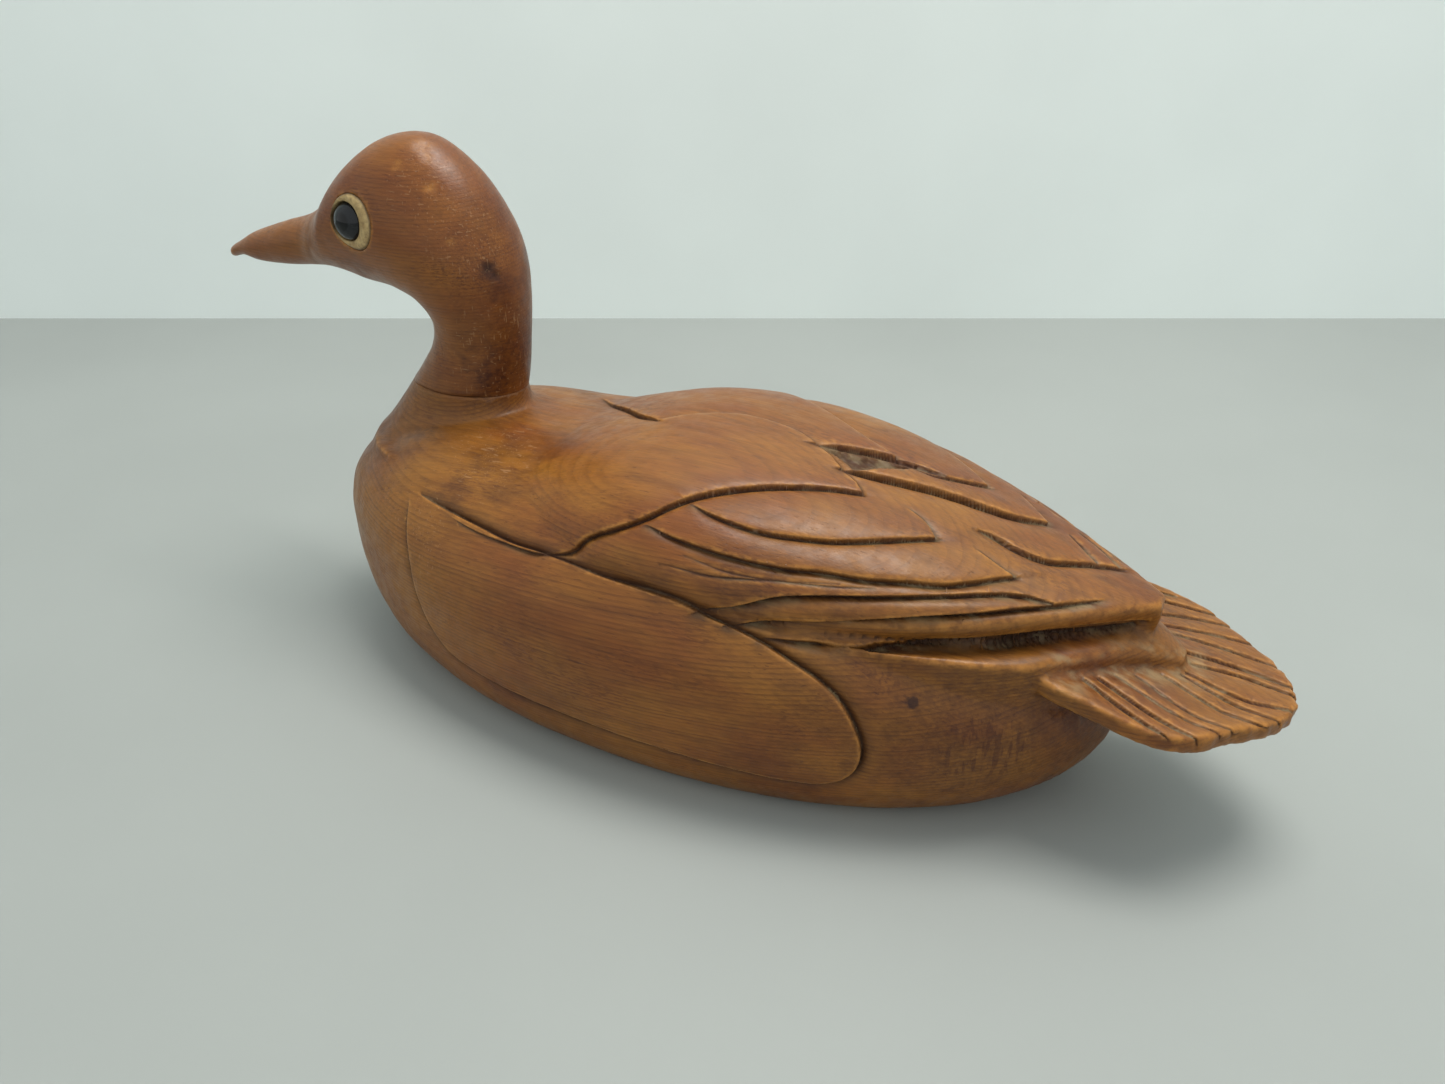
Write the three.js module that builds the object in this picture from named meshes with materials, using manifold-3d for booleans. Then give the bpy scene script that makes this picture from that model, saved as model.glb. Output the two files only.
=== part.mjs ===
// A carved wooden duck decoy that floats. A hollow body block carries a separate head pegged on a neck dowel.
// Glass eyes are bedded in putty. A bottom board is screwed on over a gasket, with the ballast on it inside,
// and a D-ring for the anchor line folds into a pocket. Millimetres. +X points to the bill, +Y to the bird's
// left, +Z up. The origin is on the resting plane, under the body.
import * as THREE from "three";
import { mergeVertices } from "three/addons/utils/BufferGeometryUtils.js";
import Module from "manifold-3d";

const wasm = await Module();
wasm.setup();

// ---------- driving dimensions ----------
const GAP = 0.2; // clearance between neighbouring pieces
const FULL_TURN = 2 * Math.PI;
const hull = {
  mid: 7, // x of the middle of the hull
  halfLength: 123.5,
  halfBeam: 60.5,
  beltHeight: 30, // height of the widest point amidships
  keelDepth: 11, // how far the full round of the hull would reach below the flat base
  breastHeight: 42, // height of the foremost point of the breast
  sternHeight: 27, // height of the rearmost point of the hull
  squareAbove: 2.3, // 2 makes the section above the belt an ellipse, and more makes it squarer
  squareBelow: 3,
  sternRounding: 1.2, // how much less square the bottom is at the stern
  // the line of the back, [x, z]
  crown: [[-150, 46], [-100, 55], [-60, 66], [-20, 77], [10, 80], [50, 75], [90, 75.5], [150, 66]],
};
const neck = {
  seamHeight: 80,
  x: 86,
  halfLength: 18.2,
  halfWidth: 14.4,
  flare: 16, // radius of the sweep from the neck into the back
  chestSlope: 0.76, // how fast the breast runs forward below the seam
  height: 22, // how far the shelf reaches down into the hull
};
const cavity = { x: -14, halfLength: 58, halfBeam: 34, roof: 56, floor: 12, square: 2.5 };
const board = { x: -14, halfLength: 66, halfWidth: 36, thickness: 7.6, screwInset: 5.5 };
const gasket = { thickness: 1.2, width: 8 };
const dowel = { x: 82, radius: 6, bottom: 46, length: 58 };
const ballast = { x: -14, length: 64, width: 32, thickness: 9, corner: 6, screwInset: 9 };
const eye = { x: 108.5, y: 16.2, z: 129, bedRadius: 8.2, bedDepth: 3.6, glassRadius: 5.45, forward: 2.15 };
const glass = { floor: -2.2, side: 1.2, dome: 4.2 }; // floor is the height of its flat back in the eye's frame
const eyeWire = { radius: 0.7, length: 12 };
const pocket = { x: 68, length: 24, width: 22, depth: 8, corner: 4 };
const ring = { barX: 61.5, wire: 1.1, reach: 13, halfWidth: 8, bend: 2.5 };
const screw = { shank: 1.7, head: 3.5, tip: 0.5, point: 4, length: 16, sunk: 0.1 };
const screwSlot = { width: 0.9, depth: 0.8 };
const clip = { thickness: 1, halfWidth: 3, reach: 9, bore: ring.wire + 0.25, screwReach: 6 };
const clipScrew = { shank: 1, head: 2, headHeight: 1.2, tip: 0.8, length: 8 };
const clipScrewSlot = { width: 0.5, depth: 0.5 };

const colours = {
  wood: 0x8f5528,
  headWood: 0x8a4e28,
  plainWood: 0xb98b57,
  putty: 0xb39a5f,
  glass: 0x101418,
  brass: 0xb08d45,
  steel: 0x8d9094,
  lead: 0x6a6d70,
  rubber: 0x2a2826,
};

// ---------- helpers ----------
const smoothPower = (value, exponent) => Math.sign(value) * Math.abs(value) ** exponent;

// A closed solid from a three.js geometry.
function solidOf(geometry) {
  const bare = geometry.clone();
  bare.deleteAttribute("normal");
  bare.deleteAttribute("uv");
  const merged = mergeVertices(bare, 1e-4);
  const position = merged.getAttribute("position");
  return new wasm.Manifold(
    new wasm.Mesh({
      numProp: 3,
      vertProperties: new Float32Array(position.array),
      triVerts: new Uint32Array(merged.index.array),
    }),
  );
}

function geometryOf(solid) {
  const mesh = solid.getMesh();
  const geometry = new THREE.BufferGeometry();
  geometry.setAttribute("position", new THREE.BufferAttribute(mesh.vertProperties, 3));
  geometry.setIndex(new THREE.BufferAttribute(mesh.triVerts, 1));
  const flat = geometry.toNonIndexed();
  flat.computeVertexNormals();
  return flat;
}

// A ring of points, one for each of count equal angles.
const ringOf = (count, pointAt) => Array.from({ length: count }, (_, j) => pointAt((j / count) * FULL_TURN));

// count + 1 rings, where ringAt is given a share from 0 to 1.
const ringsAlong = (count, ringAt) => Array.from({ length: count + 1 }, (_, i) => ringAt(i / count));

// A closed skin over rings of points, each ring running round the direction the rings advance in.
function loft(rings) {
  const round = rings[0].length;
  const middle = (points) => points.reduce((sum, p) => sum.add(p), new THREE.Vector3()).divideScalar(round);
  const points = [...rings.flat(), middle(rings[0]), middle(rings.at(-1))];
  const first = rings.length * round;
  const faces = [];
  for (let j = 0; j < round; j++) {
    const k = (j + 1) % round;
    for (let i = 0; i + 1 < rings.length; i++) {
      const a = i * round + j;
      const b = i * round + k;
      faces.push(a, b, b + round, a, b + round, a + round);
    }
    const last = (rings.length - 1) * round;
    faces.push(first, k, j, first + 1, last + j, last + k);
  }
  return indexed(points, faces);
}

function indexed(points, faces) {
  const geometry = new THREE.BufferGeometry().setFromPoints(points);
  geometry.setIndex(faces);
  return geometry;
}

// Height of a line of [x, z] points at x, as a smooth curve through them.
function heightOn(line, x) {
  const passed = line.filter(([px]) => px <= x).length;
  const i = Math.max(0, Math.min(line.length - 2, passed - 1));
  const at = (n) => line[Math.max(0, Math.min(line.length - 1, n))];
  const slope = (n) => (at(n + 1)[1] - at(n - 1)[1]) / (at(n + 1)[0] - at(n - 1)[0]);
  const span = at(i + 1)[0] - at(i)[0];
  const t = (x - at(i)[0]) / span;
  return (
    (2 * t ** 3 - 3 * t ** 2 + 1) * at(i)[1] +
    (t ** 3 - 2 * t ** 2 + t) * span * slope(i) +
    (3 * t ** 2 - 2 * t ** 3) * at(i + 1)[1] +
    (t ** 3 - t ** 2) * span * slope(i + 1)
  );
}

function roundedBox(length, width, corner, height) {
  const shape = new THREE.Shape();
  const [a, b] = [length / 2 - corner, width / 2 - corner];
  shape.absarc(a, b, corner, 0, Math.PI / 2);
  shape.absarc(-a, b, corner, Math.PI / 2, Math.PI);
  shape.absarc(-a, -b, corner, Math.PI, 1.5 * Math.PI);
  shape.absarc(a, -b, corner, 1.5 * Math.PI, 2 * Math.PI);
  return new THREE.ExtrudeGeometry(shape, { depth: height, bevelEnabled: false, curveSegments: 5 });
}

function ellipticDisc(halfLength, halfWidth, height) {
  const shape = new THREE.Shape();
  shape.absellipse(0, 0, halfLength, halfWidth, 0, 2 * Math.PI);
  return new THREE.ExtrudeGeometry(shape, { depth: height, bevelEnabled: false, curveSegments: 22 });
}

// A solid turned about Z from a profile of [radius, height] points that starts and ends on the axis.
function turned(profile, segments = 24) {
  const points = profile.map(([r, z]) => new THREE.Vector2(r, z));
  return new THREE.LatheGeometry(points, segments).rotateX(Math.PI / 2);
}

// A round rod along Z from low to high.
const rod = (radius, low, high, segments = 24) =>
  turned([[0, low], [radius, low], [radius, high], [0, high]], segments);

const at = (geometry, x, y, z) => geometry.translate(x, y, z);
const faceDown = (geometry) => geometry.rotateX(Math.PI);

// A solid with every one of the cutters taken out of it.
const without = (solid, cutters) => cutters.reduce((rest, cutter) => rest.subtract(solidOf(cutter)), solid);

// ---------- the carved form ----------
function hullSkin() {
  const endMargin = 0.09; // keeps the first and last rings just short of the two ends
  const rings = ringsAlong(28, (share) => {
    const u = Math.sin((share * 2 - 1) * (Math.PI / 2 - endMargin));
    const x = hull.mid + hull.halfLength * u;
    const end = u > 0 ? hull.breastHeight : hull.sternHeight;
    const fullness = (1 - Math.abs(u) ** 4) ** 0.45;
    const beam = hull.halfBeam * Math.sqrt(1 - u * u);
    const belt = hull.beltHeight + (end - hull.beltHeight) * u * u;
    const crown = end + (heightOn(hull.crown, x) - end) * fullness;
    const keel = end - (end + hull.keelDepth) * fullness;
    return ringOf(30, (angle) => {
      const above = Math.sin(angle) >= 0;
      const below = hull.squareBelow - hull.sternRounding * Math.min(0, u) ** 2;
      const power = 2 / (above ? hull.squareAbove : below);
      const reach = above ? crown - belt : belt - keel;
      const y = beam * smoothPower(Math.cos(angle), power);
      return new THREE.Vector3(x, y, belt + reach * smoothPower(Math.sin(angle), power));
    });
  });
  return loft(rings);
}

// The shelf the head stands on, flaring down into the back and running straight down into the breast.
function neckShelf() {
  const rings = ringsAlong(8, (share) => {
    const drop = share * neck.height;
    const fall = Math.min(neck.flare, drop);
    const toBack = neck.flare - Math.sqrt(neck.flare ** 2 - fall ** 2);
    const toBreast = neck.chestSlope * drop;
    return ringOf(24, (angle) => {
      const front = Math.max(0, Math.cos(angle)) ** 2;
      const spread = toBack * (1 - front) + toBreast * front;
      const x = neck.x + (neck.halfLength + spread) * Math.cos(angle);
      const y = -(neck.halfWidth + spread) * Math.sin(angle);
      return new THREE.Vector3(x, y, neck.seamHeight - drop);
    });
  });
  return loft(rings);
}

// The folded wings lie on the back as one domed slab that runs out to a blunt tip over the tail, and the rump
// is a lower slab of the same kind. Each row is
// [x, half-width, height of the upper edge, height of the crown, depth of the side].
const wings = [
  [-121, 3, 59.6, 60.5, 6],
  [-112, 11, 60, 62.5, 6],
  [-99, 21.5, 60, 65.5, 6],
  [-81, 34, 59.5, 70.5, 6],
  [-58, 43, 59, 77, 6],
  [-35, 49, 58.5, 81.5, 6],
  [-10, 52, 58, 84, 6],
  [15, 50, 57, 83, 6],
  [40, 42, 57, 76.5, 6],
  [60, 30, 57, 70, 6],
];
const rump = [
  [-129, 3, 45.6, 46.6, 6],
  [-121, 8.5, 46.9, 51.5, 6],
  [-114, 14, 48, 53.8, 8],
  [-103, 25, 49.8, 54.2, 13],
  [-96, 31, 50.8, 54.2, 17],
  [-80, 38.5, 52.5, 54.4, 21],
  [-55, 45, 53.2, 54.6, 23],
  [-30, 48, 51, 54, 18],
];
const slab = { undercut: 0.93, square: 2.4 }; // undercut is the foot's width as a share of the edge's width

function domedSlab(rows) {
  const across = 14;
  const [low, high] = [rows[0][0], rows.at(-1)[0]];
  const column = (n) => rows.map((row) => [row[0], row[n]]);
  const rings = ringsAlong(18, (share) => {
    const x = low + (high - low) * share;
    const [width, edge, crown, under] = [1, 2, 3, 4].map((n) => heightOn(column(n), x));
    const dome = Array.from({ length: across + 1 }, (_, j) => {
      const angle = (j / across) * Math.PI;
      const y = width * smoothPower(Math.cos(angle), 2 / slab.square);
      return new THREE.Vector3(x, y, edge + (crown - edge) * Math.sin(angle) ** (2 / slab.square));
    });
    const foot = [-1, 1].map((side) => new THREE.Vector3(x, side * width * slab.undercut, edge - under));
    return [...dome, ...foot];
  });
  return loft(rings);
}

// The tail fan: the ends of its feathers scallop the rear edge.
const tail = {
  root: -84,
  rootHalfWidth: 18,
  corner: [-142, 21],
  // from the corner to the root, [x, y]
  side: [[-134, 29], [-124, 32.5], [-110, 31.8], [-99, 30.8], [-92, 27]],
  tip: -156,
  sweep: 2.2, // how late the rear edge curves forward to the corner
  feathers: 5, // feather ends on each side of the middle
  notch: 1.3,
  thickness: 5.4,
  bevel: 0.8,
  topAtTip: 39.6,
  slope: 0.165,
  turn: 0.05, // the fan points slightly to the bird's right
};

function tailFan() {
  const rearEdge = [];
  const steps = 5;
  for (let n = 0; n < tail.feathers; n++) {
    for (let i = 0; i < steps; i++) {
      const t = (n + i / steps) / tail.feathers;
      const scallop = tail.notch * Math.sqrt(1 - (2 * (i / steps) - 1) ** 2);
      const x = tail.tip + (tail.corner[0] - tail.tip) * t ** tail.sweep + tail.notch - scallop;
      rearEdge.push([x, tail.corner[1] * t]);
    }
  }
  const half = [...rearEdge, tail.corner, ...tail.side, [tail.root, tail.rootHalfWidth]];
  const outline = [...half, ...half.slice(1).toReversed().map(([x, y]) => [x, -y])];
  const shape = new THREE.Shape(outline.map(([x, y]) => new THREE.Vector2(x, y)));
  const geometry = new THREE.ExtrudeGeometry(shape, {
    depth: tail.thickness - 2 * tail.bevel,
    bevelThickness: tail.bevel,
    bevelSize: tail.bevel,
    bevelOffset: -tail.bevel,
    bevelSegments: 1,
  });
  const onRoot = at(geometry, -tail.root, 0, tail.bevel - tail.thickness);
  const swung = at(onRoot.rotateZ(tail.turn), tail.root, 0, 0);
  return at(at(swung, -tail.tip, 0, 0).rotateY(-tail.slope), tail.tip, 0, tail.topAtTip);
}

// Carved feathers lie like shingles: inside each outline the back is tipped up a little about the root, so
// that it stands proud at the tip and runs in flush at the root. Outlines are [x, y] on the left side. The
// right side is the mirror of the left, shifted by [x, y], because the two sides were cut by hand.
const feathers = [
  {
    root: 45, // shoulder
    rise: 1.8,
    shift: [-2, -6],
    outline: [[70, 41], [53, 48], [36, 52], [24, 50], [12, 46], [3, 40], [-9, 31], [-24, 22], [-37, 14],
      [-46.5, 8], [-39, 1], [-30, -3], [-17, -6], [-4, -4.5], [10, -2], [22, 5], [45, 18]],
  },
  {
    root: 5,
    rise: 1.1,
    shift: [-5, -6],
    outline: [[-2, 36], [-16, 37.5], [-30, 38], [-45, 34], [-58, 25], [-67.5, 14.5], [-58, 10], [-45, 7],
      [-20, 15]],
  },
  {
    root: 10,
    rise: 1.1,
    shift: [0, 0],
    outline: [[4, 43], [-8, 44.5], [-24, 44.5], [-42, 42.5], [-62, 36], [-77, 27], [-88, 15.5], [-76, 7],
      [-60, 6], [-35, 20]],
  },
  {
    root: -5,
    rise: 1.1,
    shift: [0, 0],
    outline: [[-6, 53], [-25, 50.5], [-45, 44.5], [-65, 37], [-83, 27.5], [-100, 10], [-90, 4], [-65, 16],
      [-30, 38]],
  },
];

// The flank panel, [x, z] seen from the side: the hull inside it stands out a little.
const flank = {
  proud: 1,
  outline: [[76, 61], [54, 60], [29, 60], [-2, 59], [-22, 56], [-37, 52], [-52, 45], [-62, 33], [-62.5, 21],
    [-54, 14], [-37, 13.6], [6, 16], [50, 17.5], [69, 26], [75, 42], [79, 54]],
};

// An upright block over a smooth closed outline.
function block(points, height) {
  const corners = points.map(([x, y]) => new THREE.Vector3(x, y, 0));
  const curve = new THREE.CatmullRomCurve3(corners, true, "centripetal");
  const smooth = curve.getPoints(points.length * 2).slice(0, -1);
  const shape = new THREE.Shape(smooth.map(({ x, y }) => new THREE.Vector2(x, y)));
  return new THREE.ExtrudeGeometry(shape, { depth: height, bevelEnabled: false });
}

// The smooth body tipped up about a root so that it stands proud by rise at the tip.
function tippedUp(smooth, root, tip, rise) {
  const angle = THREE.MathUtils.radToDeg(Math.atan(rise / (root - tip)));
  return smooth.translate([-root, 0, 0]).rotate([0, angle, 0]).translate([root, 0, 0]);
}

function outerBody() {
  const underFeathers = 52; // height below the lowest carved feather
  const pastTheBody = 80;
  const ground = solidOf(at(new THREE.BoxGeometry(400, 300, 60), 0, 0, -30));
  const smooth = solidOf(hullSkin())
    .add(solidOf(neckShelf()))
    .add(solidOf(domedSlab(wings)))
    .add(solidOf(domedSlab(rump)));
  let carved = smooth;
  for (const { root, rise, shift, outline } of feathers) {
    const tip = Math.min(...outline.map(([x]) => x));
    const lifted = tippedUp(smooth, root, tip, rise);
    const other = outline.map(([x, y]) => [x + shift[0], shift[1] - y]).toReversed();
    for (const side of [outline, other]) {
      carved = carved.add(lifted.intersect(solidOf(at(block(side, 60), 0, 0, underFeathers))));
    }
  }
  const panel = solidOf(at(block(flank.outline, pastTheBody).rotateX(Math.PI / 2), 0, pastTheBody, 0));
  const left = smooth.translate([0, flank.proud, 0]).intersect(panel);
  return carved.add(left).add(left.mirror([0, 1, 0])).add(solidOf(tailFan())).subtract(ground);
}

// Two rails in the middle plane, back of neck to bill ridge and throat to underside of bill, and half-widths.
const headRails = [
  // [back x, back z, throat x, throat z, half-width]
  [68.2, 78, 107.2, 78, 14.6],
  [66.8, 84, 101.4, 85, 13.8],
  [65.4, 94, 96.2, 92.5, 13.3],
  [64.8, 106, 94.2, 100.2, 14.8],
  [66, 120, 97.4, 104.9, 17.4],
  [71.6, 133, 103.3, 106.8, 18.8],
  [81, 144.5, 110, 107.1, 18.6],
  [93, 151.4, 117, 107.5, 17.8],
  [106.3, 149.8, 123.5, 108.5, 16.9],
  [118.8, 142, 130, 109.3, 15.2],
  [128.6, 132, 136, 109.2, 11.4],
  [139.5, 125.2, 142.5, 108.5, 7.9],
  [153, 120.7, 153.5, 107.2, 6.9],
  [166.5, 116.1, 166, 106.7, 5.6],
  [174.5, 112.1, 173, 107.6, 3.9],
  [180.2, 108, 178.4, 105.6, 1.6],
];

function headSkin() {
  const rail = (pointOf) => new THREE.CatmullRomCurve3(headRails.map(pointOf));
  const back = rail(([x, z]) => new THREE.Vector3(x, 0, z));
  const throat = rail(([, , x, z]) => new THREE.Vector3(x, 0, z));
  const widths = rail((row, i) => new THREE.Vector3(i, row[4], 0));
  const rings = ringsAlong(34, (share) => {
    const upper = back.getPoint(share);
    const lower = throat.getPoint(share);
    const middle = upper.clone().add(lower).divideScalar(2);
    const half = upper.clone().sub(lower).divideScalar(2);
    const width = widths.getPoint(share).y;
    return ringOf(24, (angle) => {
      const point = middle.clone().addScaledVector(half, Math.sin(angle));
      return point.setY(width * Math.cos(angle));
    });
  });
  return loft(rings);
}

// ---------- fasteners ----------
// A countersunk wood screw, head face at 0 and point down. grow widens it into the hole it needs.
function screwProfile(length, grow = 0) {
  const { shank, head, tip, point } = screw;
  const rim = 0.5; // depth of the head's straight side
  return [
    [0, -length - grow],
    [tip + grow, -length],
    [shank + grow, -length + point],
    [shank + grow, -head + shank - rim],
    [head + grow, -rim],
    [head + grow, grow],
    [0, grow],
  ];
}

function screwSolid(length) {
  const slot = new THREE.BoxGeometry(3 * screw.head, screwSlot.width, 2 * screwSlot.depth);
  return solidOf(turned(screwProfile(length), 12)).subtract(solidOf(slot));
}

const screwHole = (length) => turned(screwProfile(length, GAP), 12);

// Places of the six board screws round the board, [x, y].
const boardScrewPlaces = [0, 1, 2, 3, 4, 5].map((n) => {
  const angle = ((n + 0.5) / 6) * FULL_TURN;
  const [halfLength, halfWidth] = [board.halfLength - board.screwInset, board.halfWidth - board.screwInset];
  return [board.x + halfLength * Math.cos(angle), halfWidth * Math.sin(angle)];
});
const ballastScrewPlaces = [-1, 1].map((side) => {
  return [ballast.x + side * (ballast.length / 2 - ballast.screwInset), 0];
});
const ballastScrewLength = ballast.thickness + board.thickness - 2;
const ballastTop = board.thickness + GAP + ballast.thickness;

function boardScrewHoles() {
  return boardScrewPlaces.map(([x, y]) => at(faceDown(screwHole(screw.length)), x, y, 0));
}

function ballastScrewHoles() {
  return ballastScrewPlaces.map(([x, y]) => at(screwHole(ballastScrewLength), x, y, ballastTop));
}

// ---------- pieces under the base ----------
const rebateDepth = board.thickness + gasket.thickness + 2 * GAP;
const ringHeight = pocket.depth - GAP - clip.thickness - clip.bore;

// A disc under the board, set in from the board's edge.
const boardDisc = (inset, thickness, low) =>
  at(ellipticDisc(board.halfLength - inset, board.halfWidth - inset, thickness), board.x, 0, low);

const boardSolid = () =>
  without(solidOf(boardDisc(0, board.thickness, 0)), [...boardScrewHoles(), ...ballastScrewHoles()]);

function gasketSolid() {
  const low = board.thickness + GAP / 2;
  const opening = boardDisc(gasket.width, 3 * gasket.thickness, low - gasket.thickness);
  return without(solidOf(boardDisc(GAP, gasket.thickness, low)), [opening, ...boardScrewHoles()]);
}

function ballastSolid() {
  const bar = roundedBox(ballast.length, ballast.width, ballast.corner, ballast.thickness);
  return without(solidOf(at(bar, ballast.x, 0, board.thickness + GAP)), ballastScrewHoles());
}

// The D-ring: a wire along a closed path, straight across the bar and round at the front.
function dRing() {
  const { bend } = ring;
  const inner = ring.halfWidth - bend;
  const arcs = [ // [centre x, centre y, radius, first quarter turn, last quarter turn, steps]
    [ring.reach - ring.halfWidth, 0, ring.halfWidth, -1, 1, 12],
    [bend, inner, bend, 1, 2, 3],
    [bend, -inner, bend, 2, 3, 3],
  ];
  const path = arcs.flatMap(([x, y, radius, from, to, steps]) =>
    Array.from({ length: steps + 1 }, (_, i) => {
      const angle = ((from + ((to - from) * i) / steps) * Math.PI) / 2;
      return new THREE.Vector3(x + radius * Math.cos(angle), y + radius * Math.sin(angle), 0);
    }),
  );
  return closedWire(path, ring.wire);
}

// A round wire along a closed path in the XY plane.
function closedWire(path, radius) {
  const round = 8;
  const count = path.length;
  const points = [];
  const faces = [];
  path.forEach((point, i) => {
    const along = path[(i + 1) % count].clone().sub(path[(i + count - 1) % count]).normalize();
    const outward = new THREE.Vector3(along.y, -along.x, 0);
    for (let j = 0; j < round; j++) {
      const angle = (j / round) * 2 * Math.PI;
      const offset = outward.clone().multiplyScalar(radius * Math.cos(angle));
      points.push(point.clone().add(offset).setZ(radius * Math.sin(angle)));
      const next = (i + 1) % count;
      const [a, b] = [i * round + j, i * round + ((j + 1) % round)];
      const [c, d] = [next * round + ((j + 1) % round), next * round + j];
      faces.push(a, c, b, a, d, c);
    }
  });
  return indexed(points, faces);
}

// The clip: a strap folded round the bar, with one ear screwed to the pocket's roof.
function clipSolid() {
  const outer = clip.bore + clip.thickness;
  const width = 2 * clip.halfWidth;
  const [start, end] = [Math.PI / 2, 1.9 * Math.PI]; // the strap stops just short of closing
  const overlap = 0.4; // how far the ear runs into the strap
  const shape = new THREE.Shape();
  shape.moveTo(0, outer);
  shape.absarc(0, 0, outer, start, end, false);
  shape.absarc(0, 0, clip.bore, end, start, true);
  const loop = new THREE.ExtrudeGeometry(shape, { depth: width, bevelEnabled: false, curveSegments: 14 });
  const strap = loop.rotateX(Math.PI / 2).translate(0, clip.halfWidth, 0);
  const ear = new THREE.BoxGeometry(clip.reach + overlap, width, clip.thickness);
  const earPlace = at(ear, (clip.reach - overlap) / 2, 0, outer - clip.thickness / 2);
  const whole = solidOf(strap).add(solidOf(earPlace)).translate([ring.barX, 0, ringHeight]);
  return without(whole, [clipScrewAt(GAP)]);
}

// The clip's round-headed screw, head down under the ear. grow widens it into the hole it needs.
function clipScrewAt(grow) {
  const { shank, head, headHeight, tip, length } = clipScrew;
  const shoulder = pocket.depth - clip.thickness - 2 * GAP - grow;
  const rim = grow > 0 ? shank + grow : head; // a hole has no place for the head
  const profile = [
    [0, shoulder - headHeight],
    [rim, shoulder - headHeight],
    [rim, shoulder],
    [shank + grow, shoulder],
    [tip + grow, pocket.depth + length - 2],
    [0, pocket.depth + length + grow],
  ];
  return at(turned(profile, 14), ring.barX + clip.screwReach, 0, 0);
}

function clipScrewSolid() {
  const face = pocket.depth - clip.thickness - 2 * GAP - clipScrew.headHeight;
  const slot = new THREE.BoxGeometry(3 * clipScrew.head, clipScrewSlot.width, 2 * clipScrewSlot.depth);
  return without(solidOf(clipScrewAt(0)), [at(slot, ring.barX + clip.screwReach, 0, face)]);
}

// ---------- eyes ----------
// The eye's frame: its axis points out of the head, its +X runs towards the bill. side is 1 left, -1 right.
function inEyeFrame(geometry, side) {
  const outward = new THREE.Vector3(0.04, side, 0.14).normalize();
  const forward = new THREE.Vector3(1, 0, 0).addScaledVector(outward, -outward.x).normalize();
  const up = outward.clone().cross(forward);
  const frame = new THREE.Matrix4().makeBasis(forward, up, outward).setPosition(eye.x, side * eye.y, eye.z);
  return geometry.applyMatrix4(frame);
}

const domeOf = (radius, base, height, steps = 4) =>
  Array.from({ length: steps + 1 }, (_, i) => {
    const angle = (i / steps) * (Math.PI / 2);
    return [radius * Math.cos(angle), base + height * Math.sin(angle)];
  });

function bedBlank() {
  const { bedRadius, bedDepth } = eye;
  const swell = { base: -0.6, height: 0.9 };
  const top = domeOf(bedRadius, swell.base, swell.height, 2);
  return turned([[0, -bedDepth], [bedRadius, -bedDepth], ...top], 24);
}

function glassBlank(grow) {
  const radius = eye.glassRadius + grow;
  const dome = domeOf(radius, glass.floor + glass.side, glass.dome + grow);
  return at(turned([[0, glass.floor - grow], [radius, glass.floor - grow], ...dome], 18), eye.forward, 0, 0);
}

// The wire stops just under the glass, and its hole runs on a little deeper and higher.
function wireBlank(grow) {
  const top = glass.floor - (grow > 0 ? -GAP : GAP);
  return at(rod(eyeWire.radius + grow, -eyeWire.length - grow, top, 10), eye.forward, 0, 0);
}

const socketBlank = () => rod(eye.bedRadius + GAP, -eye.bedDepth - GAP, 8, 24);

function bedSolid(side) {
  const holes = [glassBlank(GAP), wireBlank(GAP)].map((hole) => inEyeFrame(hole, side));
  return without(solidOf(inEyeFrame(bedBlank(), side)), holes);
}

// ---------- body and head with their holes ----------
function cavitySkin() {
  const middle = (cavity.roof + cavity.floor) / 2;
  const half = (cavity.roof - cavity.floor) / 2;
  const endMargin = 0.15;
  const rings = ringsAlong(10, (share) => {
    const u = Math.sin((share * 2 - 1) * (Math.PI / 2 - endMargin));
    const spread = Math.sqrt(1 - u * u);
    return ringOf(16, (angle) => {
      const y = cavity.halfBeam * spread * smoothPower(Math.cos(angle), 2 / cavity.square);
      const rise = half * spread ** 0.6 * smoothPower(Math.sin(angle), 2 / cavity.square);
      return new THREE.Vector3(cavity.x + cavity.halfLength * u, y, middle + rise);
    });
  });
  return loft(rings);
}

const dowelHole = (low, high) => at(rod(dowel.radius + GAP, low, high), dowel.x, 0, 0);

function bodySolid() {
  const below = 5; // the cutters reach this far under the base
  const pocketBox = roundedBox(pocket.length, pocket.width, pocket.corner, pocket.depth + below);
  return without(outerBody(), [
    cavitySkin(),
    boardDisc(gasket.width, 30, -below),
    boardDisc(-GAP, rebateDepth + below, -below),
    dowelHole(dowel.bottom - GAP, neck.seamHeight + 5),
    at(pocketBox, pocket.x, 0, -below),
    clipScrewAt(GAP),
    ...boardScrewHoles(),
  ]);
}

function headSolid() {
  const seam = neck.seamHeight + GAP;
  const sockets = [1, -1].flatMap((side) => {
    return [socketBlank(), wireBlank(GAP)].map((hole) => inEyeFrame(hole, side));
  });
  return without(solidOf(headSkin()), [
    at(new THREE.BoxGeometry(200, 100, 100), 100, 0, seam - 50),
    dowelHole(60, dowel.bottom + dowel.length + GAP),
    ...sockets,
  ]);
}

// ---------- assembly ----------
const duck = new THREE.Group();

function addPiece(name, solid, color, roughness, metalness = 0) {
  const material = new THREE.MeshStandardMaterial({ color, roughness, metalness });
  const mesh = new THREE.Mesh(geometryOf(solid), material);
  mesh.name = name;
  duck.add(mesh);
  return mesh;
}

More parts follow.
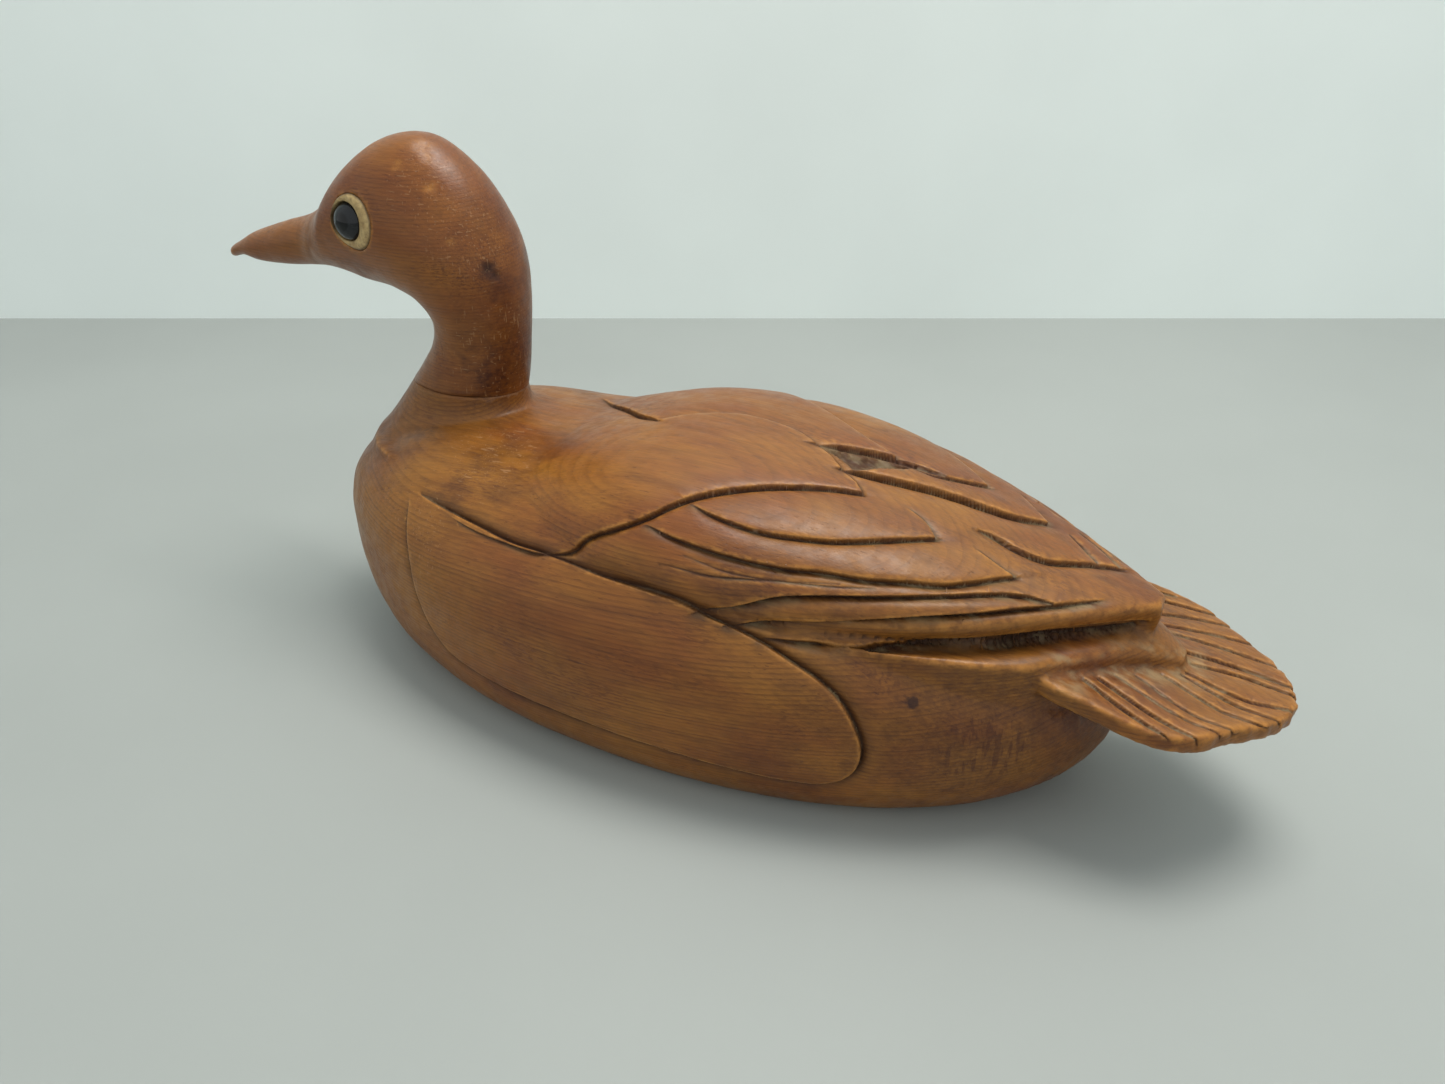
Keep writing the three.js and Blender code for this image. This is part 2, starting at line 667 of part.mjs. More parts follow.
addPiece("body", bodySolid(), colours.wood, 0.5);
addPiece("head", headSolid(), colours.headWood, 0.45);
const peg = at(rod(dowel.radius, dowel.bottom, dowel.bottom + dowel.length), dowel.x, 0, 0);
addPiece("neck_dowel", solidOf(peg), colours.plainWood, 0.7);
addPiece("bottom_board", boardSolid(), colours.wood, 0.6);
addPiece("board_gasket", gasketSolid(), colours.rubber, 0.9);
boardScrewPlaces.forEach(([x, y], n) => {
  const mesh = addPiece(`board_screw_${n + 1}`, screwSolid(screw.length), colours.brass, 0.4, 1);
  mesh.rotation.x = Math.PI;
  mesh.position.set(x, y, screw.sunk);
});
addPiece("ballast_weight", ballastSolid(), colours.lead, 0.6, 0.8);
ballastScrewPlaces.forEach(([x, y], n) => {
  const mesh = addPiece(`ballast_screw_${n + 1}`, screwSolid(ballastScrewLength), colours.brass, 0.4, 1);
  mesh.position.set(x, y, ballastTop);
});
for (const [name, side] of [["left", 1], ["right", -1]]) {
  addPiece(`${name}_eye_bed`, bedSolid(side), colours.putty, 0.8);
  addPiece(`${name}_eye_glass`, solidOf(inEyeFrame(glassBlank(0), side)), colours.glass, 0.08);
  addPiece(`${name}_eye_wire`, solidOf(inEyeFrame(wireBlank(0), side)), colours.steel, 0.4, 1);
}
addPiece("anchor_clip", clipSolid(), colours.brass, 0.4, 1);
addPiece("anchor_clip_screw", clipScrewSolid(), colours.brass, 0.4, 1);
const anchorRing = addPiece("anchor_ring", solidOf(dRing()), colours.brass, 0.35, 1);
anchorRing.position.set(ring.barX, 0, ringHeight);

export default duck;
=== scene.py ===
"""Looks for the floating duck decoy: a carved, stained and waxed wooden duck with glass eyes set in putty.

Lengths are in millimetres until a mesh is made. +X points to the bill, +Y to the bird's left, +Z up.
"""
import math

import bmesh
import bpy
import numpy as np
from mathutils import Matrix, Vector
from mathutils.bvhtree import BVHTree


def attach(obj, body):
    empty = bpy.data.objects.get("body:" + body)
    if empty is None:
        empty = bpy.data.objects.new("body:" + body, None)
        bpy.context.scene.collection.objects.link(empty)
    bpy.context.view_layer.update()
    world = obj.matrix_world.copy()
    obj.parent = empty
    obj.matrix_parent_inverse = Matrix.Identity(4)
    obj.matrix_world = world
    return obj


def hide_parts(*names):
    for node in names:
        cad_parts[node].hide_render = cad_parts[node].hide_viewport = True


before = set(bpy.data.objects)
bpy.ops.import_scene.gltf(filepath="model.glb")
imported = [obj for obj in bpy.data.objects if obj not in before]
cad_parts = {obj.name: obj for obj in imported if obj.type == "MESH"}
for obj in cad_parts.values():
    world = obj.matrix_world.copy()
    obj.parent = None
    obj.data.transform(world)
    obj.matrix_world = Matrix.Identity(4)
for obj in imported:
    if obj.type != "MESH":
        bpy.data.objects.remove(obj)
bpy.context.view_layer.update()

MM = 0.001
SEED = 7

# ---------- the form: the CAD's, with small changes at the neck, eye beds and bill tip ----------
HULL = dict(mid=7.0, half_length=123.5, half_beam=60.5, belt=30.0, keel=11.0, breast=42.0, stern=27.0)
# How square the hull is in section above and below its belt, and how much rounder below at the stern.
HULL_SECTION = dict(above=2.3, below=3.0, stern_rounding=1.2)
SLAB_SECTION = 2.4
CROWN = [(-150, 46), (-100, 55), (-60, 66), (-20, 77), (10, 80), (50, 75), (90, 75.5), (150, 66)]
NECK = dict(seam=80.0, x=86.6, half_length=18.8, half_width=14.5, flare=16.0, chest_slope=0.78, height=22.0)
# x, half-width, height of the edge, height of the crown, depth of the side
WINGS = [
    (-121, 3, 59.6, 60.5, 6), (-112, 11, 60, 62.5, 6), (-99, 21.5, 60, 65.5, 6), (-81, 34, 59.5, 70.5, 6),
    (-58, 43, 59, 77, 6), (-35, 49, 58.5, 81.5, 6), (-10, 52, 58, 84, 6), (15, 50, 57, 83, 6),
    (40, 42, 57, 76.5, 6), (60, 30, 57, 70, 6)]
RUMP = [
    (-129, 3, 45.6, 46.6, 6), (-121, 8.5, 46.9, 51.5, 6), (-114, 14, 48, 53.8, 8),
    (-103, 25, 49.8, 54.2, 13), (-96, 31, 50.8, 54.2, 17), (-80, 38.5, 52.5, 54.4, 21),
    (-55, 45, 53.2, 54.6, 23), (-30, 48, 51, 54, 18)]
UNDERCUT = 0.93  # width of a slab's foot as a share of its width at the edge
TAIL = dict(root=-84.0, root_half=18.0, widest=-124.0, half=32.5, corner=(-142.0, 21.0), tip=-156.0,
            feathers=5, notch=1.3, thickness=5.4, top_at_tip=39.6, slope=0.165, turn=0.05, droop=1.8)
CAVITY = dict(x=-14.0, half_length=58.0, half_beam=34.0, roof=56.0, floor=12.0)
BOARD = dict(x=-14.0, half_length=66.0, half_width=36.0, rebate=9.2, gasket_width=8.0)
POCKET = dict(x=68.0, length=24.0, width=22.0, depth=8.0, corner=4.0)
DOWEL = dict(radius=6.2, bottom=45.8, top=104.2, x=82.0)
CLIP_SCREW_HOLE = dict(x=67.5, radius=1.3, low=5, high=16.3)
BOARD_SCREWS = dict(count=6, inset=5.5, radius=2.0, low=5, high=16.4)
CLEARANCE = 0.2
EYE = dict(x=108.5, y=16.2, z=129.0, bed=7.8, bed_depth=3.6,
           glass=5.45, forward=2.15, glass_floor=-2.2, dome=4.2)
EYE_WIRE_HOLE = dict(radius=0.95, depth=12.3)
# back x, back z, throat x, throat z, half-width
HEAD_RAILS = [
    (68.2, 78, 107.2, 78, 14.6), (66.8, 84, 101.4, 85, 13.8), (65.4, 94, 96.2, 92.5, 13.3),
    (64.8, 106, 94.2, 100.2, 14.8), (66, 120, 97.4, 104.9, 17.4), (71.6, 133, 103.3, 106.8, 18.8),
    (81, 144.5, 110, 107.1, 18.6), (93, 151.4, 117, 107.5, 17.8), (106.3, 149.8, 123.5, 108.5, 16.9),
    (118.8, 142, 130, 109.3, 15.2), (128.6, 132, 136, 109.2, 11.4), (139.5, 125.2, 142.5, 108.5, 7.9),
    (153, 120.7, 153.5, 107.2, 6.9), (166.5, 116.1, 166, 106.7, 5.6), (174.5, 112.1, 173, 107.6, 3.9),
    (178.6, 109.9, 176.6, 106.9, 3.0), (180.3, 107.9, 178.6, 106.3, 1.5)]


def smooth_power(value, exponent):
    return np.sign(value) * np.abs(value) ** exponent


def smoothstep(value, low, high):
    t = np.clip((value - low) / (high - low), 0, 1)
    return t * t * (3 - 2 * t)


def hermite(t, start, end, leave, reach, span=1.0):
    """The smooth curve from start to end that leaves and reaches them with the given slopes."""
    return ((2 * t**3 - 3 * t**2 + 1) * start + (t**3 - 2 * t**2 + t) * span * leave
            + (3 * t**2 - 2 * t**3) * end + (t**3 - t**2) * span * reach)


def height_on(line, x):
    """Height of a line of (x, z) points at x, as a smooth curve through them."""
    passed = sum(1 for p in line if p[0] <= x)
    i = max(0, min(len(line) - 2, passed - 1))

    def point(n):
        return line[max(0, min(len(line) - 1, n))]

    def slope(n):
        return (point(n + 1)[1] - point(n - 1)[1]) / (point(n + 1)[0] - point(n - 1)[0])

    span = point(i + 1)[0] - point(i)[0]
    t = (x - point(i)[0]) / span
    return hermite(t, point(i)[1], point(i + 1)[1], slope(i), slope(i + 1), span)


def spline(points, places):
    """Points on a smooth curve through the given points. Place 0 is the first point, 1 the second."""
    p = np.array(points, float)
    p = np.vstack([2 * p[0] - p[1], p, 2 * p[-1] - p[-2]])
    places = np.asarray(places, float)
    i = np.clip(places.astype(int), 0, len(points) - 2)
    t = (places - i)[:, None]
    a, b, c, d = p[i], p[i + 1], p[i + 2], p[i + 3]
    ab, bc, cd = (np.maximum(1e-6, ((v - u) ** 2).sum(1, keepdims=True)) ** 0.25
                  for u, v in ((a, b), (b, c), (c, d)))
    leave = ((b - a) / ab - (c - a) / (ab + bc) + (c - b) / bc) * bc
    reach = ((c - b) / bc - (d - b) / (bc + cd) + (d - c) / cd) * bc
    return hermite(t, b, c, leave, reach)


def curve(points, step=0.8):
    """Points about step apart along a smooth curve through the given points."""
    length = np.linalg.norm(np.diff(np.array(points, float)[:, :2], axis=0), axis=1)
    places = []
    for i, gap in enumerate(length):
        count = max(1, int(gap / step))
        places.append(i + np.arange(count) / count)
    return spline(points, np.append(np.concatenate(places), len(points) - 1))


# ---------- solids as vertices and faces ----------
def loft(rings):
    """A closed skin over equal rings of points."""
    rings = np.array(rings, float)
    count, around = rings.shape[:2]
    faces = []
    for i in range(count - 1):
        for j in range(around):
            k = (j + 1) % around
            faces.append((i * around + j, i * around + k, (i + 1) * around + k, (i + 1) * around + j))
    faces.append(tuple(reversed(range(around))))
    faces.append(tuple(range((count - 1) * around, count * around)))
    return rings.reshape(-1, 3), faces


def prism(outline, low, high):
    """An upright block over an outline that runs anticlockwise."""
    outline = np.array(outline, float)
    return loft([np.column_stack([outline, np.full(len(outline), z)]) for z in (low, high)])


def turns(around):
    """Equal steps of angle once round a circle."""
    return np.arange(around) / around * 2 * np.pi


def ellipse(x, half_length, half_width, around=96):
    angle = turns(around)
    return np.column_stack([x + half_length * np.cos(angle), half_width * np.sin(angle)])


def rounded_rectangle(x, length, width, corner, steps=8):
    points = []
    for quarter, (side_x, side_y) in enumerate(((1, 1), (-1, 1), (-1, -1), (1, -1))):
        for i in range(steps + 1):
            angle = (quarter + i / steps) * math.pi / 2
            points.append((x + side_x * (length / 2 - corner) + corner * math.cos(angle),
                           side_y * (width / 2 - corner) + corner * math.sin(angle)))
    return points


def hull_loft(stations=120, around=110):
    rings = []
    for i in range(stations + 1):
        u = math.sin((i / stations * 2 - 1) * (math.pi / 2 - 0.06))
        x = HULL["mid"] + HULL["half_length"] * u
        end = HULL["breast"] if u > 0 else HULL["stern"]
        fullness = (1 - abs(u) ** 4) ** 0.45
        beam = HULL["half_beam"] * math.sqrt(1 - u * u)
        belt = HULL["belt"] + (end - HULL["belt"]) * u * u
        crown = end + (height_on(CROWN, x) - end) * fullness
        keel = end - (end + HULL["keel"]) * fullness
        angle = turns(around)
        above = np.sin(angle) >= 0
        below = HULL_SECTION["below"] - HULL_SECTION["stern_rounding"] * min(0, u) ** 2
        power = np.where(above, 2 / HULL_SECTION["above"], 2 / below)
        reach = np.where(above, crown - belt, belt - keel)
        y = beam * smooth_power(np.cos(angle), power)
        z = belt + reach * smooth_power(np.sin(angle), power)
        rings.append(np.column_stack([np.full(around, x), y, z]))
    return loft(rings)


def neck_shelf_loft(steps=30, around=90):
    """The shelf the head stands on, flaring into the back. It starts above the seam, to be cut flat there."""
    rings = []
    above_seam = 4
    angle = -turns(around)
    front = np.maximum(0, np.cos(angle)) ** 2
    for drop in np.append(-above_seam, np.arange(steps + 1) / steps * NECK["height"]):
        fall = min(NECK["flare"], max(0, drop))
        round_flare = NECK["flare"] - math.sqrt(NECK["flare"] ** 2 - fall**2)
        chest = NECK["chest_slope"] * drop
        spread = round_flare * (1 - front) + chest * front
        rings.append(np.column_stack([NECK["x"] + (NECK["half_length"] + spread) * np.cos(angle),
                                      (NECK["half_width"] + spread) * np.sin(angle),
                                      np.full(around, NECK["seam"] - drop)]))
    return loft(rings)


def row_at(rows, x):
    return [height_on([(row[0], row[n]) for row in rows], x) for n in range(1, 5)]


def slab_loft(rows, stations=110, across=70):
    rings = []
    for x in np.linspace(rows[0][0], rows[-1][0], stations):
        width, edge, crown, under = row_at(rows, x)
        angle = np.arange(across + 1) / across * np.pi
        y = width * smooth_power(np.cos(angle), 2 / SLAB_SECTION)
        z = edge + (crown - edge) * np.sin(angle).clip(0) ** (2 / SLAB_SECTION)
        y = np.append(y, [-width * UNDERCUT, width * UNDERCUT])
        z = np.append(z, [edge - under, edge - under])
        rings.append(np.column_stack([np.full(len(y), x), y, z]))
    return loft(rings)


def tail_top(x, y):
    """Height of the top of the tail fan. It slopes down to the tip, and its sides droop behind the rump."""
    away = smoothstep(-x, 96, 130)
    sloping = TAIL["top_at_tip"] + math.tan(TAIL["slope"]) * (x - TAIL["tip"])
    return sloping - TAIL["droop"] * away * (y / TAIL["half"]) ** 2


def tail_loft():
    """The tail fan, a plate with a scalloped rear edge, laid out straight and then turned to one side."""
    edge = []
    steps = 10
    for n in range(TAIL["feathers"]):
        for i in range(steps):
            t = (n + i / steps) / TAIL["feathers"]
            scallop = TAIL["notch"] * math.sqrt(1 - (2 * i / steps - 1) ** 2)
            x = TAIL["tip"] + (TAIL["corner"][0] - TAIL["tip"]) * t**2.2 - scallop + TAIL["notch"]
            edge.append((x, TAIL["corner"][1] * t))
    side = [TAIL["corner"], (-134, 29), (TAIL["widest"], TAIL["half"]), (-110, 31.8), (-99, 30.8), (-92, 27),
            (TAIL["root"], TAIL["root_half"])]
    half = edge + [tuple(p) for p in curve(side, step=2.0)]
    outline = np.array(half + [(x, -y) for x, y in reversed(half[1:])])
    cos, sin = math.cos(TAIL["turn"]), math.sin(TAIL["turn"])
    pivot = np.array([TAIL["root"], 0])
    outline = (outline - pivot) @ np.array([[cos, sin], [-sin, cos]]) + pivot
    centre = outline.mean(0)
    away = outline - centre
    away /= np.linalg.norm(away, axis=1, keepdims=True)
    rings = []
    rounding = ((0, 0.5), (0.5, 0), (TAIL["thickness"] - 1, 0.3), (TAIL["thickness"], 1.2))
    for depth, inset in rounding:
        ring = outline - away * inset
        rings.append(np.column_stack([ring, tail_top(ring[:, 0], ring[:, 1]) - depth]))
    return loft([ring[::-1] for ring in rings])


def cavity_loft(stations=24, around=32):
    rings = []
    middle = (CAVITY["roof"] + CAVITY["floor"]) / 2
    half = (CAVITY["roof"] - CAVITY["floor"]) / 2
    angle = turns(around)
    for i in range(stations + 1):
        u = math.sin((2 * i / stations - 1) * (math.pi / 2 - 0.15))
        spread = math.sqrt(1 - u * u)
        rings.append(np.column_stack([np.full(around, CAVITY["x"] + CAVITY["half_length"] * u),
                                      CAVITY["half_beam"] * spread * smooth_power(np.cos(angle), 0.8),
                                      middle + half * spread**0.6 * smooth_power(np.sin(angle), 0.8)]))
    return loft(rings)


def head_loft(stations=230, around=120):
    places = np.linspace(0, len(HEAD_RAILS) - 1, stations)
    back = spline([(row[0], row[1]) for row in HEAD_RAILS], places)
    throat = spline([(row[2], row[3]) for row in HEAD_RAILS], places)
    width = spline([(n, row[4]) for n, row in enumerate(HEAD_RAILS)], places)[:, 1]
    angle = turns(around)
    rings = []
    for upper, lower, half_width in zip(back, throat, width):
        middle, half = (upper + lower) / 2, (upper - lower) / 2
        plan = middle + half * np.sin(angle)[:, None]
        rings.append(np.column_stack([plan[:, 0], half_width * np.cos(angle), plan[:, 1]]))
    return loft(rings)


# ---------- meshes ----------
def new_object(name, verts, faces):
    mesh = bpy.data.meshes.new(name)
    mesh.from_pydata([tuple(v) for v in np.asarray(verts, float) * MM], [], faces)
    mesh.polygons.foreach_set("use_smooth", [True] * len(mesh.polygons))
    piece = bpy.data.objects.new(name, mesh)
    bpy.context.scene.collection.objects.link(piece)
    return piece


def joined(parts):
    """Several solids as one list of vertices and one of faces."""
    verts, faces, count = [], [], 0
    for part_verts, part_faces in parts:
        verts.append(part_verts)
        faces += [tuple(i + count for i in face) for face in part_faces]
        count += len(part_verts)
    return np.vstack(verts), faces


def apply_modifier(piece, kind, **settings):
    modifier = piece.modifiers.new(kind.lower(), kind)
    for key, value in settings.items():
        setattr(modifier, key, value)
    bpy.context.view_layer.update()
    mesh = bpy.data.meshes.new_from_object(piece.evaluated_get(bpy.context.evaluated_depsgraph_get()))
    old = piece.data
    piece.modifiers.clear()
    piece.data = mesh
    bpy.data.meshes.remove(old)


def cut(piece, verts, faces):
    cutter = new_object("cutter", verts, faces)
    apply_modifier(piece, "BOOLEAN", operation="DIFFERENCE", solver="MANIFOLD", object=cutter)
    bpy.data.objects.remove(cutter)


def coordinates(mesh):
    co = np.zeros(len(mesh.vertices) * 3)
    mesh.vertices.foreach_get("co", co)
    return co.reshape(-1, 3) / MM


def set_coordinates(mesh, co):
    mesh.vertices.foreach_set("co", (co * MM).ravel())
    mesh.update()


def normals(mesh):
    n = np.zeros(len(mesh.vertices) * 3)
    mesh.vertex_normals.foreach_get("vector", n)
    return n.reshape(-1, 3)


def edge_ends(mesh):
    edges = np.zeros(len(mesh.edges) * 2, int)
    mesh.edges.foreach_get("vertices", edges)
    return edges.reshape(-1, 2).T


def neighbour_mean(mesh, values):
    a, b = edge_ends(mesh)
    degree = np.bincount(np.append(a, b), minlength=len(values))
    total = np.zeros(values.shape)
    for axis in range(values.shape[1]):
        total[:, axis] = (np.bincount(a, values[b, axis], len(values))
                          + np.bincount(b, values[a, axis], len(values)))
    return total / np.maximum(1, degree)[:, None]


def relax(mesh, rounds, share=0.5):
    for _ in range(rounds):
        co = coordinates(mesh)
        set_coordinates(mesh, co + share * (neighbour_mean(mesh, co) - co))


def bend(mesh):
    """How strongly each vertex stands out (positive) or lies in a corner (negative), per millimetre."""
    co = coordinates(mesh)
    away = neighbour_mean(mesh, co) - co
    a, b = edge_ends(mesh)
    length2 = ((co[a] - co[b]) ** 2).sum(1)
    degree = np.bincount(np.append(a, b), minlength=len(co))
    mean2 = (np.bincount(a, length2, len(co)) + np.bincount(b, length2, len(co))) / np.maximum(1, degree)
    value = (-(away * normals(mesh)).sum(1) / np.maximum(1e-6, mean2))[:, None]
    for _ in range(2):
        value = (value + neighbour_mean(mesh, value)) / 2
    return value[:, 0]


def refine(piece, distance_of, bands):
    """Splits the edges that lie near the carving, once for each band."""
    for reach in bands:
        bm = bmesh.new()
        bm.from_mesh(piece.data)
        bmesh.ops.triangulate(bm, faces=bm.faces)
        bm.verts.index_update()
        near = distance_of(np.array([v.co for v in bm.verts]) / MM) < reach
        chosen = [e for e in bm.edges if near[e.verts[0].index] and near[e.verts[1].index]]
        bmesh.ops.subdivide_edges(bm, edges=chosen, cuts=1)
        bmesh.ops.triangulate(bm, faces=bm.faces)
        bm.to_mesh(piece.data)
        bm.free()
        piece.data.update()


def attribute(mesh, name, values):
    layer = mesh.attributes.get(name) or mesh.attributes.new(name, "FLOAT", "POINT")
    layer.data.foreach_set("value", np.asarray(values, np.float32))


def read_attribute(mesh, name):
    values = np.zeros(len(mesh.vertices), np.float32)
    mesh.attributes[name].data.foreach_get("value", values)
    return values


def lattice_noise(points, size, seed):
    """Smooth noise from -1 to 1 with features about size across."""
    # Each corner of the lattice takes its value from this table, through a hash of its place.
    table = np.random.default_rng(seed).uniform(-1, 1, 4096)
    scaled = points / size
    cell = np.floor(scaled).astype(int)
    t = scaled - cell
    t = t * t * (3 - 2 * t)
    total = np.zeros(len(points))
    for corner in range(8):
        bits = np.array([corner & 1, corner >> 1 & 1, corner >> 2 & 1])
        key = (cell + bits) @ np.array([73856093, 19349663, 83492791])
        total += np.where(bits, t, 1 - t).prod(1) * table[key % len(table)]
    return total


# ---------- the carving ----------
# Each cut is a line of (x, y, depth). The surface on the right of the line is cut down, and the surface
# on its left stays as the raised edge of a feather.
SHOULDER = [
    (66, 43.5, 0), (54, 46.5, 0.5), (42, 48.5, 1.0), (30, 50, 1.6), (22, 49.5, 2.1), (15, 48, 2.4),
    (7, 46.5, 2.5), (0, 43.5, 2.5), (-7, 37.5, 2.5), (-14, 32, 2.4), (-21, 27.5, 2.3), (-29, 22.5, 2.2),
    (-38, 17.5, 2.0), (-47, 13.5, 1.7)]
SHOULDER_INNER = [
    (-47, 13.5, 1.7), (-44, 10.5, 1.9), (-39, 7.2, 1.9), (-34, 3, 1.8), (-29, -0.3, 1.5), (-22, -4, 1.3),
    (-13, -5.8, 1.2), (-4, -6, 1.2), (3, -4, 1.1), (10, -0.5, 1.1), (18, 5.5, 1.0)]
UPPER_FEATHER = [
    (-10, 37.2, 0.9), (-15, 38.5, 1.5), (-23, 39, 1.7), (-31, 38.3, 1.8), (-38, 36.5, 1.9),
    (-46, 33.5, 2.0), (-53, 29.5, 2.0), (-60, 24.5, 2.0), (-68, 18, 1.6)]
UPPER_TIP = [(-68, 18, 1.3), (-65, 15, 0.8), (-61, 13, 0.4), (-56, 12, 0)]
LOWER_FEATHER = [
    (-1, 44.8, 1.0), (-8, 46, 1.8), (-18, 46.3, 2.1), (-28, 45.5, 2.2), (-39, 43.5, 2.3), (-47, 41, 2.3),
    (-57, 38, 2.3), (-66, 34, 2.3), (-74, 30, 2.3), (-80, 25, 2.2), (-88, 17, 1.6)]
LOWER_TIP = [(-88, 17, 1.2), (-84, 16.5, 0.7), (-80, 15.5, 0.4), (-75, 14.5, 0)]
# The two long primaries run along the side of the folded wing: (x, z, depth) seen from the side.
FIRST_PRIMARY = [
    (-19, 56.5, 0.8), (-28, 59.4, 2.0), (-39, 64, 2.8), (-49, 65.6, 3.0), (-58, 66.3, 3.0),
    (-68, 66.9, 3.0), (-76, 67, 2.8), (-84, 66.6, 2.5), (-91, 65.5, 2.0), (-98, 63.6, 0.8)]
SECOND_PRIMARY = [
    (-27, 54.8, 0.8), (-36, 56.5, 2.4), (-45, 57.9, 3.0), (-54, 59.5, 3.2), (-63, 61.2, 3.2),
    (-72, 62.6, 3.2), (-81, 63.4, 3.0), (-90, 63.7, 2.7), (-98, 63.4, 2.2), (-107, 62.7, 0.8)]
WING_FOOT = [
    (-36, 53.3, 0.8), (-45, 53.2, 2.2), (-54, 53.5, 3.2), (-66, 54.5, 3.6), (-80, 55.7, 3.8),
    (-93, 56.4, 3.8), (-105, 57, 3.4), (-113, 56.8, 2.6), (-118, 56.2, 1.6)]
# (line, width over which the wood comes back up, width of the painted shade at the foot of the cut)
LEFT_CUTS = [
    (SHOULDER, 5.0, 0.8), (SHOULDER_INNER, 4.0, 0.7), (UPPER_FEATHER, 3.6, 0.9), (UPPER_TIP, 3.0, 0.7),
    (LOWER_FEATHER, 7.0, 1.1), (LOWER_TIP, 3.0, 0.7)]


def mirrored(line, shift_x=0.0, shift_y=0.0):
    """The same cut on the bird's right, moved by the hand's error, which grows towards the tail."""
    out = []
    for x, y, depth in reversed(line):
        share = min(1.0, max(0.0, (20 - x) / 40))
        out.append((x + shift_x * share, -y + shift_y * share, depth))
    return out


RIGHT_CUTS = [
    (mirrored(SHOULDER, -2.5, 4.5), 5.0, 0.8),
    (mirrored(UPPER_FEATHER, -3.0), 3.6, 0.9),
    (mirrored(LOWER_FEATHER, -1.0, 4.0), 7.0, 1.1),
    ([(52, -19, 0), (44, -13, 1.2), (35, -6.5, 1.8), (25, 1.5, 1.7), (18, 4.8, 1.0)], 4.0, 0.9),
    ([(-51, -8, 0.6), (-58, -8.5, 1.4), (-65, -12.5, 1.6), (-72, -18, 1.6)], 2.5, 0.9),
    ([(-38, 7, 1.0), (-42, 5.2, 2.4), (-46, 3.6, 3.2), (-52, 1.4, 3.6), (-60, -1.7, 3.7), (-68, -4.2, 3.5),
      (-77, -6.6, 3.1), (-83, -9, 2.4), (-89, -12.5, 1.4)], 3.0, 1.7),
    ([(-76, 7, 0.8), (-80, 6, 1.8), (-86, 6.5, 2.1), (-93, 5, 2.2), (-98, 1, 2.1), (-103, -3, 1.8),
      (-110, -7, 1.0)], 3.2, 1.2),
    ([(-25, 0.5, 0.2), (-29, -1.5, 1.2), (-34, -4.3, 2.4), (-41, -7.6, 3.2), (-48, -9.6, 3.0),
      (-55, -10, 1.8), (-61, -10.5, 0.6)], 4.2, 1.6),
]
# Plain V-grooves, (x, y, depth).
GROOVES = [
    [(-104, -4, 0.5), (-99, -9, 0.9), (-95, -12.5, 0.4)],
    [(-109, -7, 0.5), (-103, -13, 0.9), (-97, -16.5, 0.4)],
    [(-8, 50.5, 0.2), (-22, 49.6, 0.5), (-36, 46.5, 0.5), (-50, 42.5, 0.4), (-60, 38.5, 0.2)],
    [(-14, 48.6, 0.2), (-26, 48.2, 0.4), (-40, 45.4, 0.4), (-52, 41.3, 0.2)],
]
# The tail's grooves fan out from the rear edge of the rump to the edge of the tail, both from left to right.
TAIL_ROOTS = [
    (-105, 27), (-108.5, 23), (-115, 16.5), (-121.5, 11.5), (-129, 5.5), (-131, -1.5), (-127, -8.5),
    (-119, -15), (-111, -21.5), (-106, -26)]
TAIL_ENDS = [
    (-118, 30.5), (-130, 29), (-141, 23), (-148, 16), (-153.5, 7.5), (-155.5, -2), (-153, -12.5),
    (-146, -22), (-134, -30.5), (-120, -32.3)]
TAIL_BARBS = 14


def tail_grooves():
    """The grooves of the tail, uneven in place, depth and bow as a hand would cut them."""
    rng = np.random.default_rng(SEED + 20)
    last = len(TAIL_ROOTS) - 1
    places = np.linspace(1.0, last - 0.3, TAIL_BARBS)
    gap = places[1] - places[0]
    roots = spline(TAIL_ROOTS, np.clip(places + gap * rng.uniform(-0.35, 0.35, TAIL_BARBS), 0, last))
    ends = spline(TAIL_ENDS, np.clip(places + gap * rng.uniform(-0.28, 0.28, TAIL_BARBS), 0, last))
    grooves = []
    for n, (root, end) in enumerate(zip(roots, ends)):
        depth = rng.uniform(0.55, 1.5)
        outward = 1 if n < TAIL_BARBS / 2 else -1
        bow = rng.uniform(0.03, 0.08) * np.array([end[1] - root[1], root[0] - end[0]]) * outward
        root_depth, end_depth = depth * rng.uniform(0.5, 1.0), depth * rng.uniform(0.3, 0.9)
        grooves.append([(*root, root_depth), (*((root + end) / 2 + bow), depth), (*end, end_depth)])
    return grooves


# The hollow between the two shoulders.
PIT = [
    (-28, -0.8), (-33, -3.6), (-40, -6.8), (-47, -9), (-54, -9), (-52, -4.5), (-47, 0), (-44, 4),
    (-41, 6), (-36, 3), (-31, 1)]
PIT_DEPTH = 3.3
# The flank panel's edge seen from the side, (x, z, depth), from the front of its top round its rear.
FLANK = [
    (76, 61, 0.5), (66, 60.5, 1.6), (54, 60, 2.1), (40, 59.5, 2.1), (29, 60, 2.0), (19, 60, 1.9),
    (9, 59.5, 1.9), (-2, 59, 2.0), (-14, 58, 2.0), (-22, 56, 2.1), (-29, 54.5, 2.2), (-37, 52, 2.3),
    (-44, 49, 2.3), (-52, 45, 2.3), (-58, 40, 2.3), (-62, 33, 2.3), (-63.5, 27, 2.3), (-62.5, 21, 2.2),
    (-59, 16.5, 2.1), (-54, 14, 2.0), (-47, 13.3, 2.1), (-37, 13.6, 2.0), (-17, 15, 1.8), (6, 16, 1.5),
    (27, 16.5, 1.1), (50, 17.5, 0.4), (62, 20, 0.3), (69, 26, 0.3), (73, 33, 0.4), (75, 42, 0.45),
    (78, 51, 0.4), (80, 58, 0.1)]
WALL = 0.32  # width of the steep side of a cut
LIP = 0.14  # share of the depth by which the raised edge is worn down
FAR = 1e3


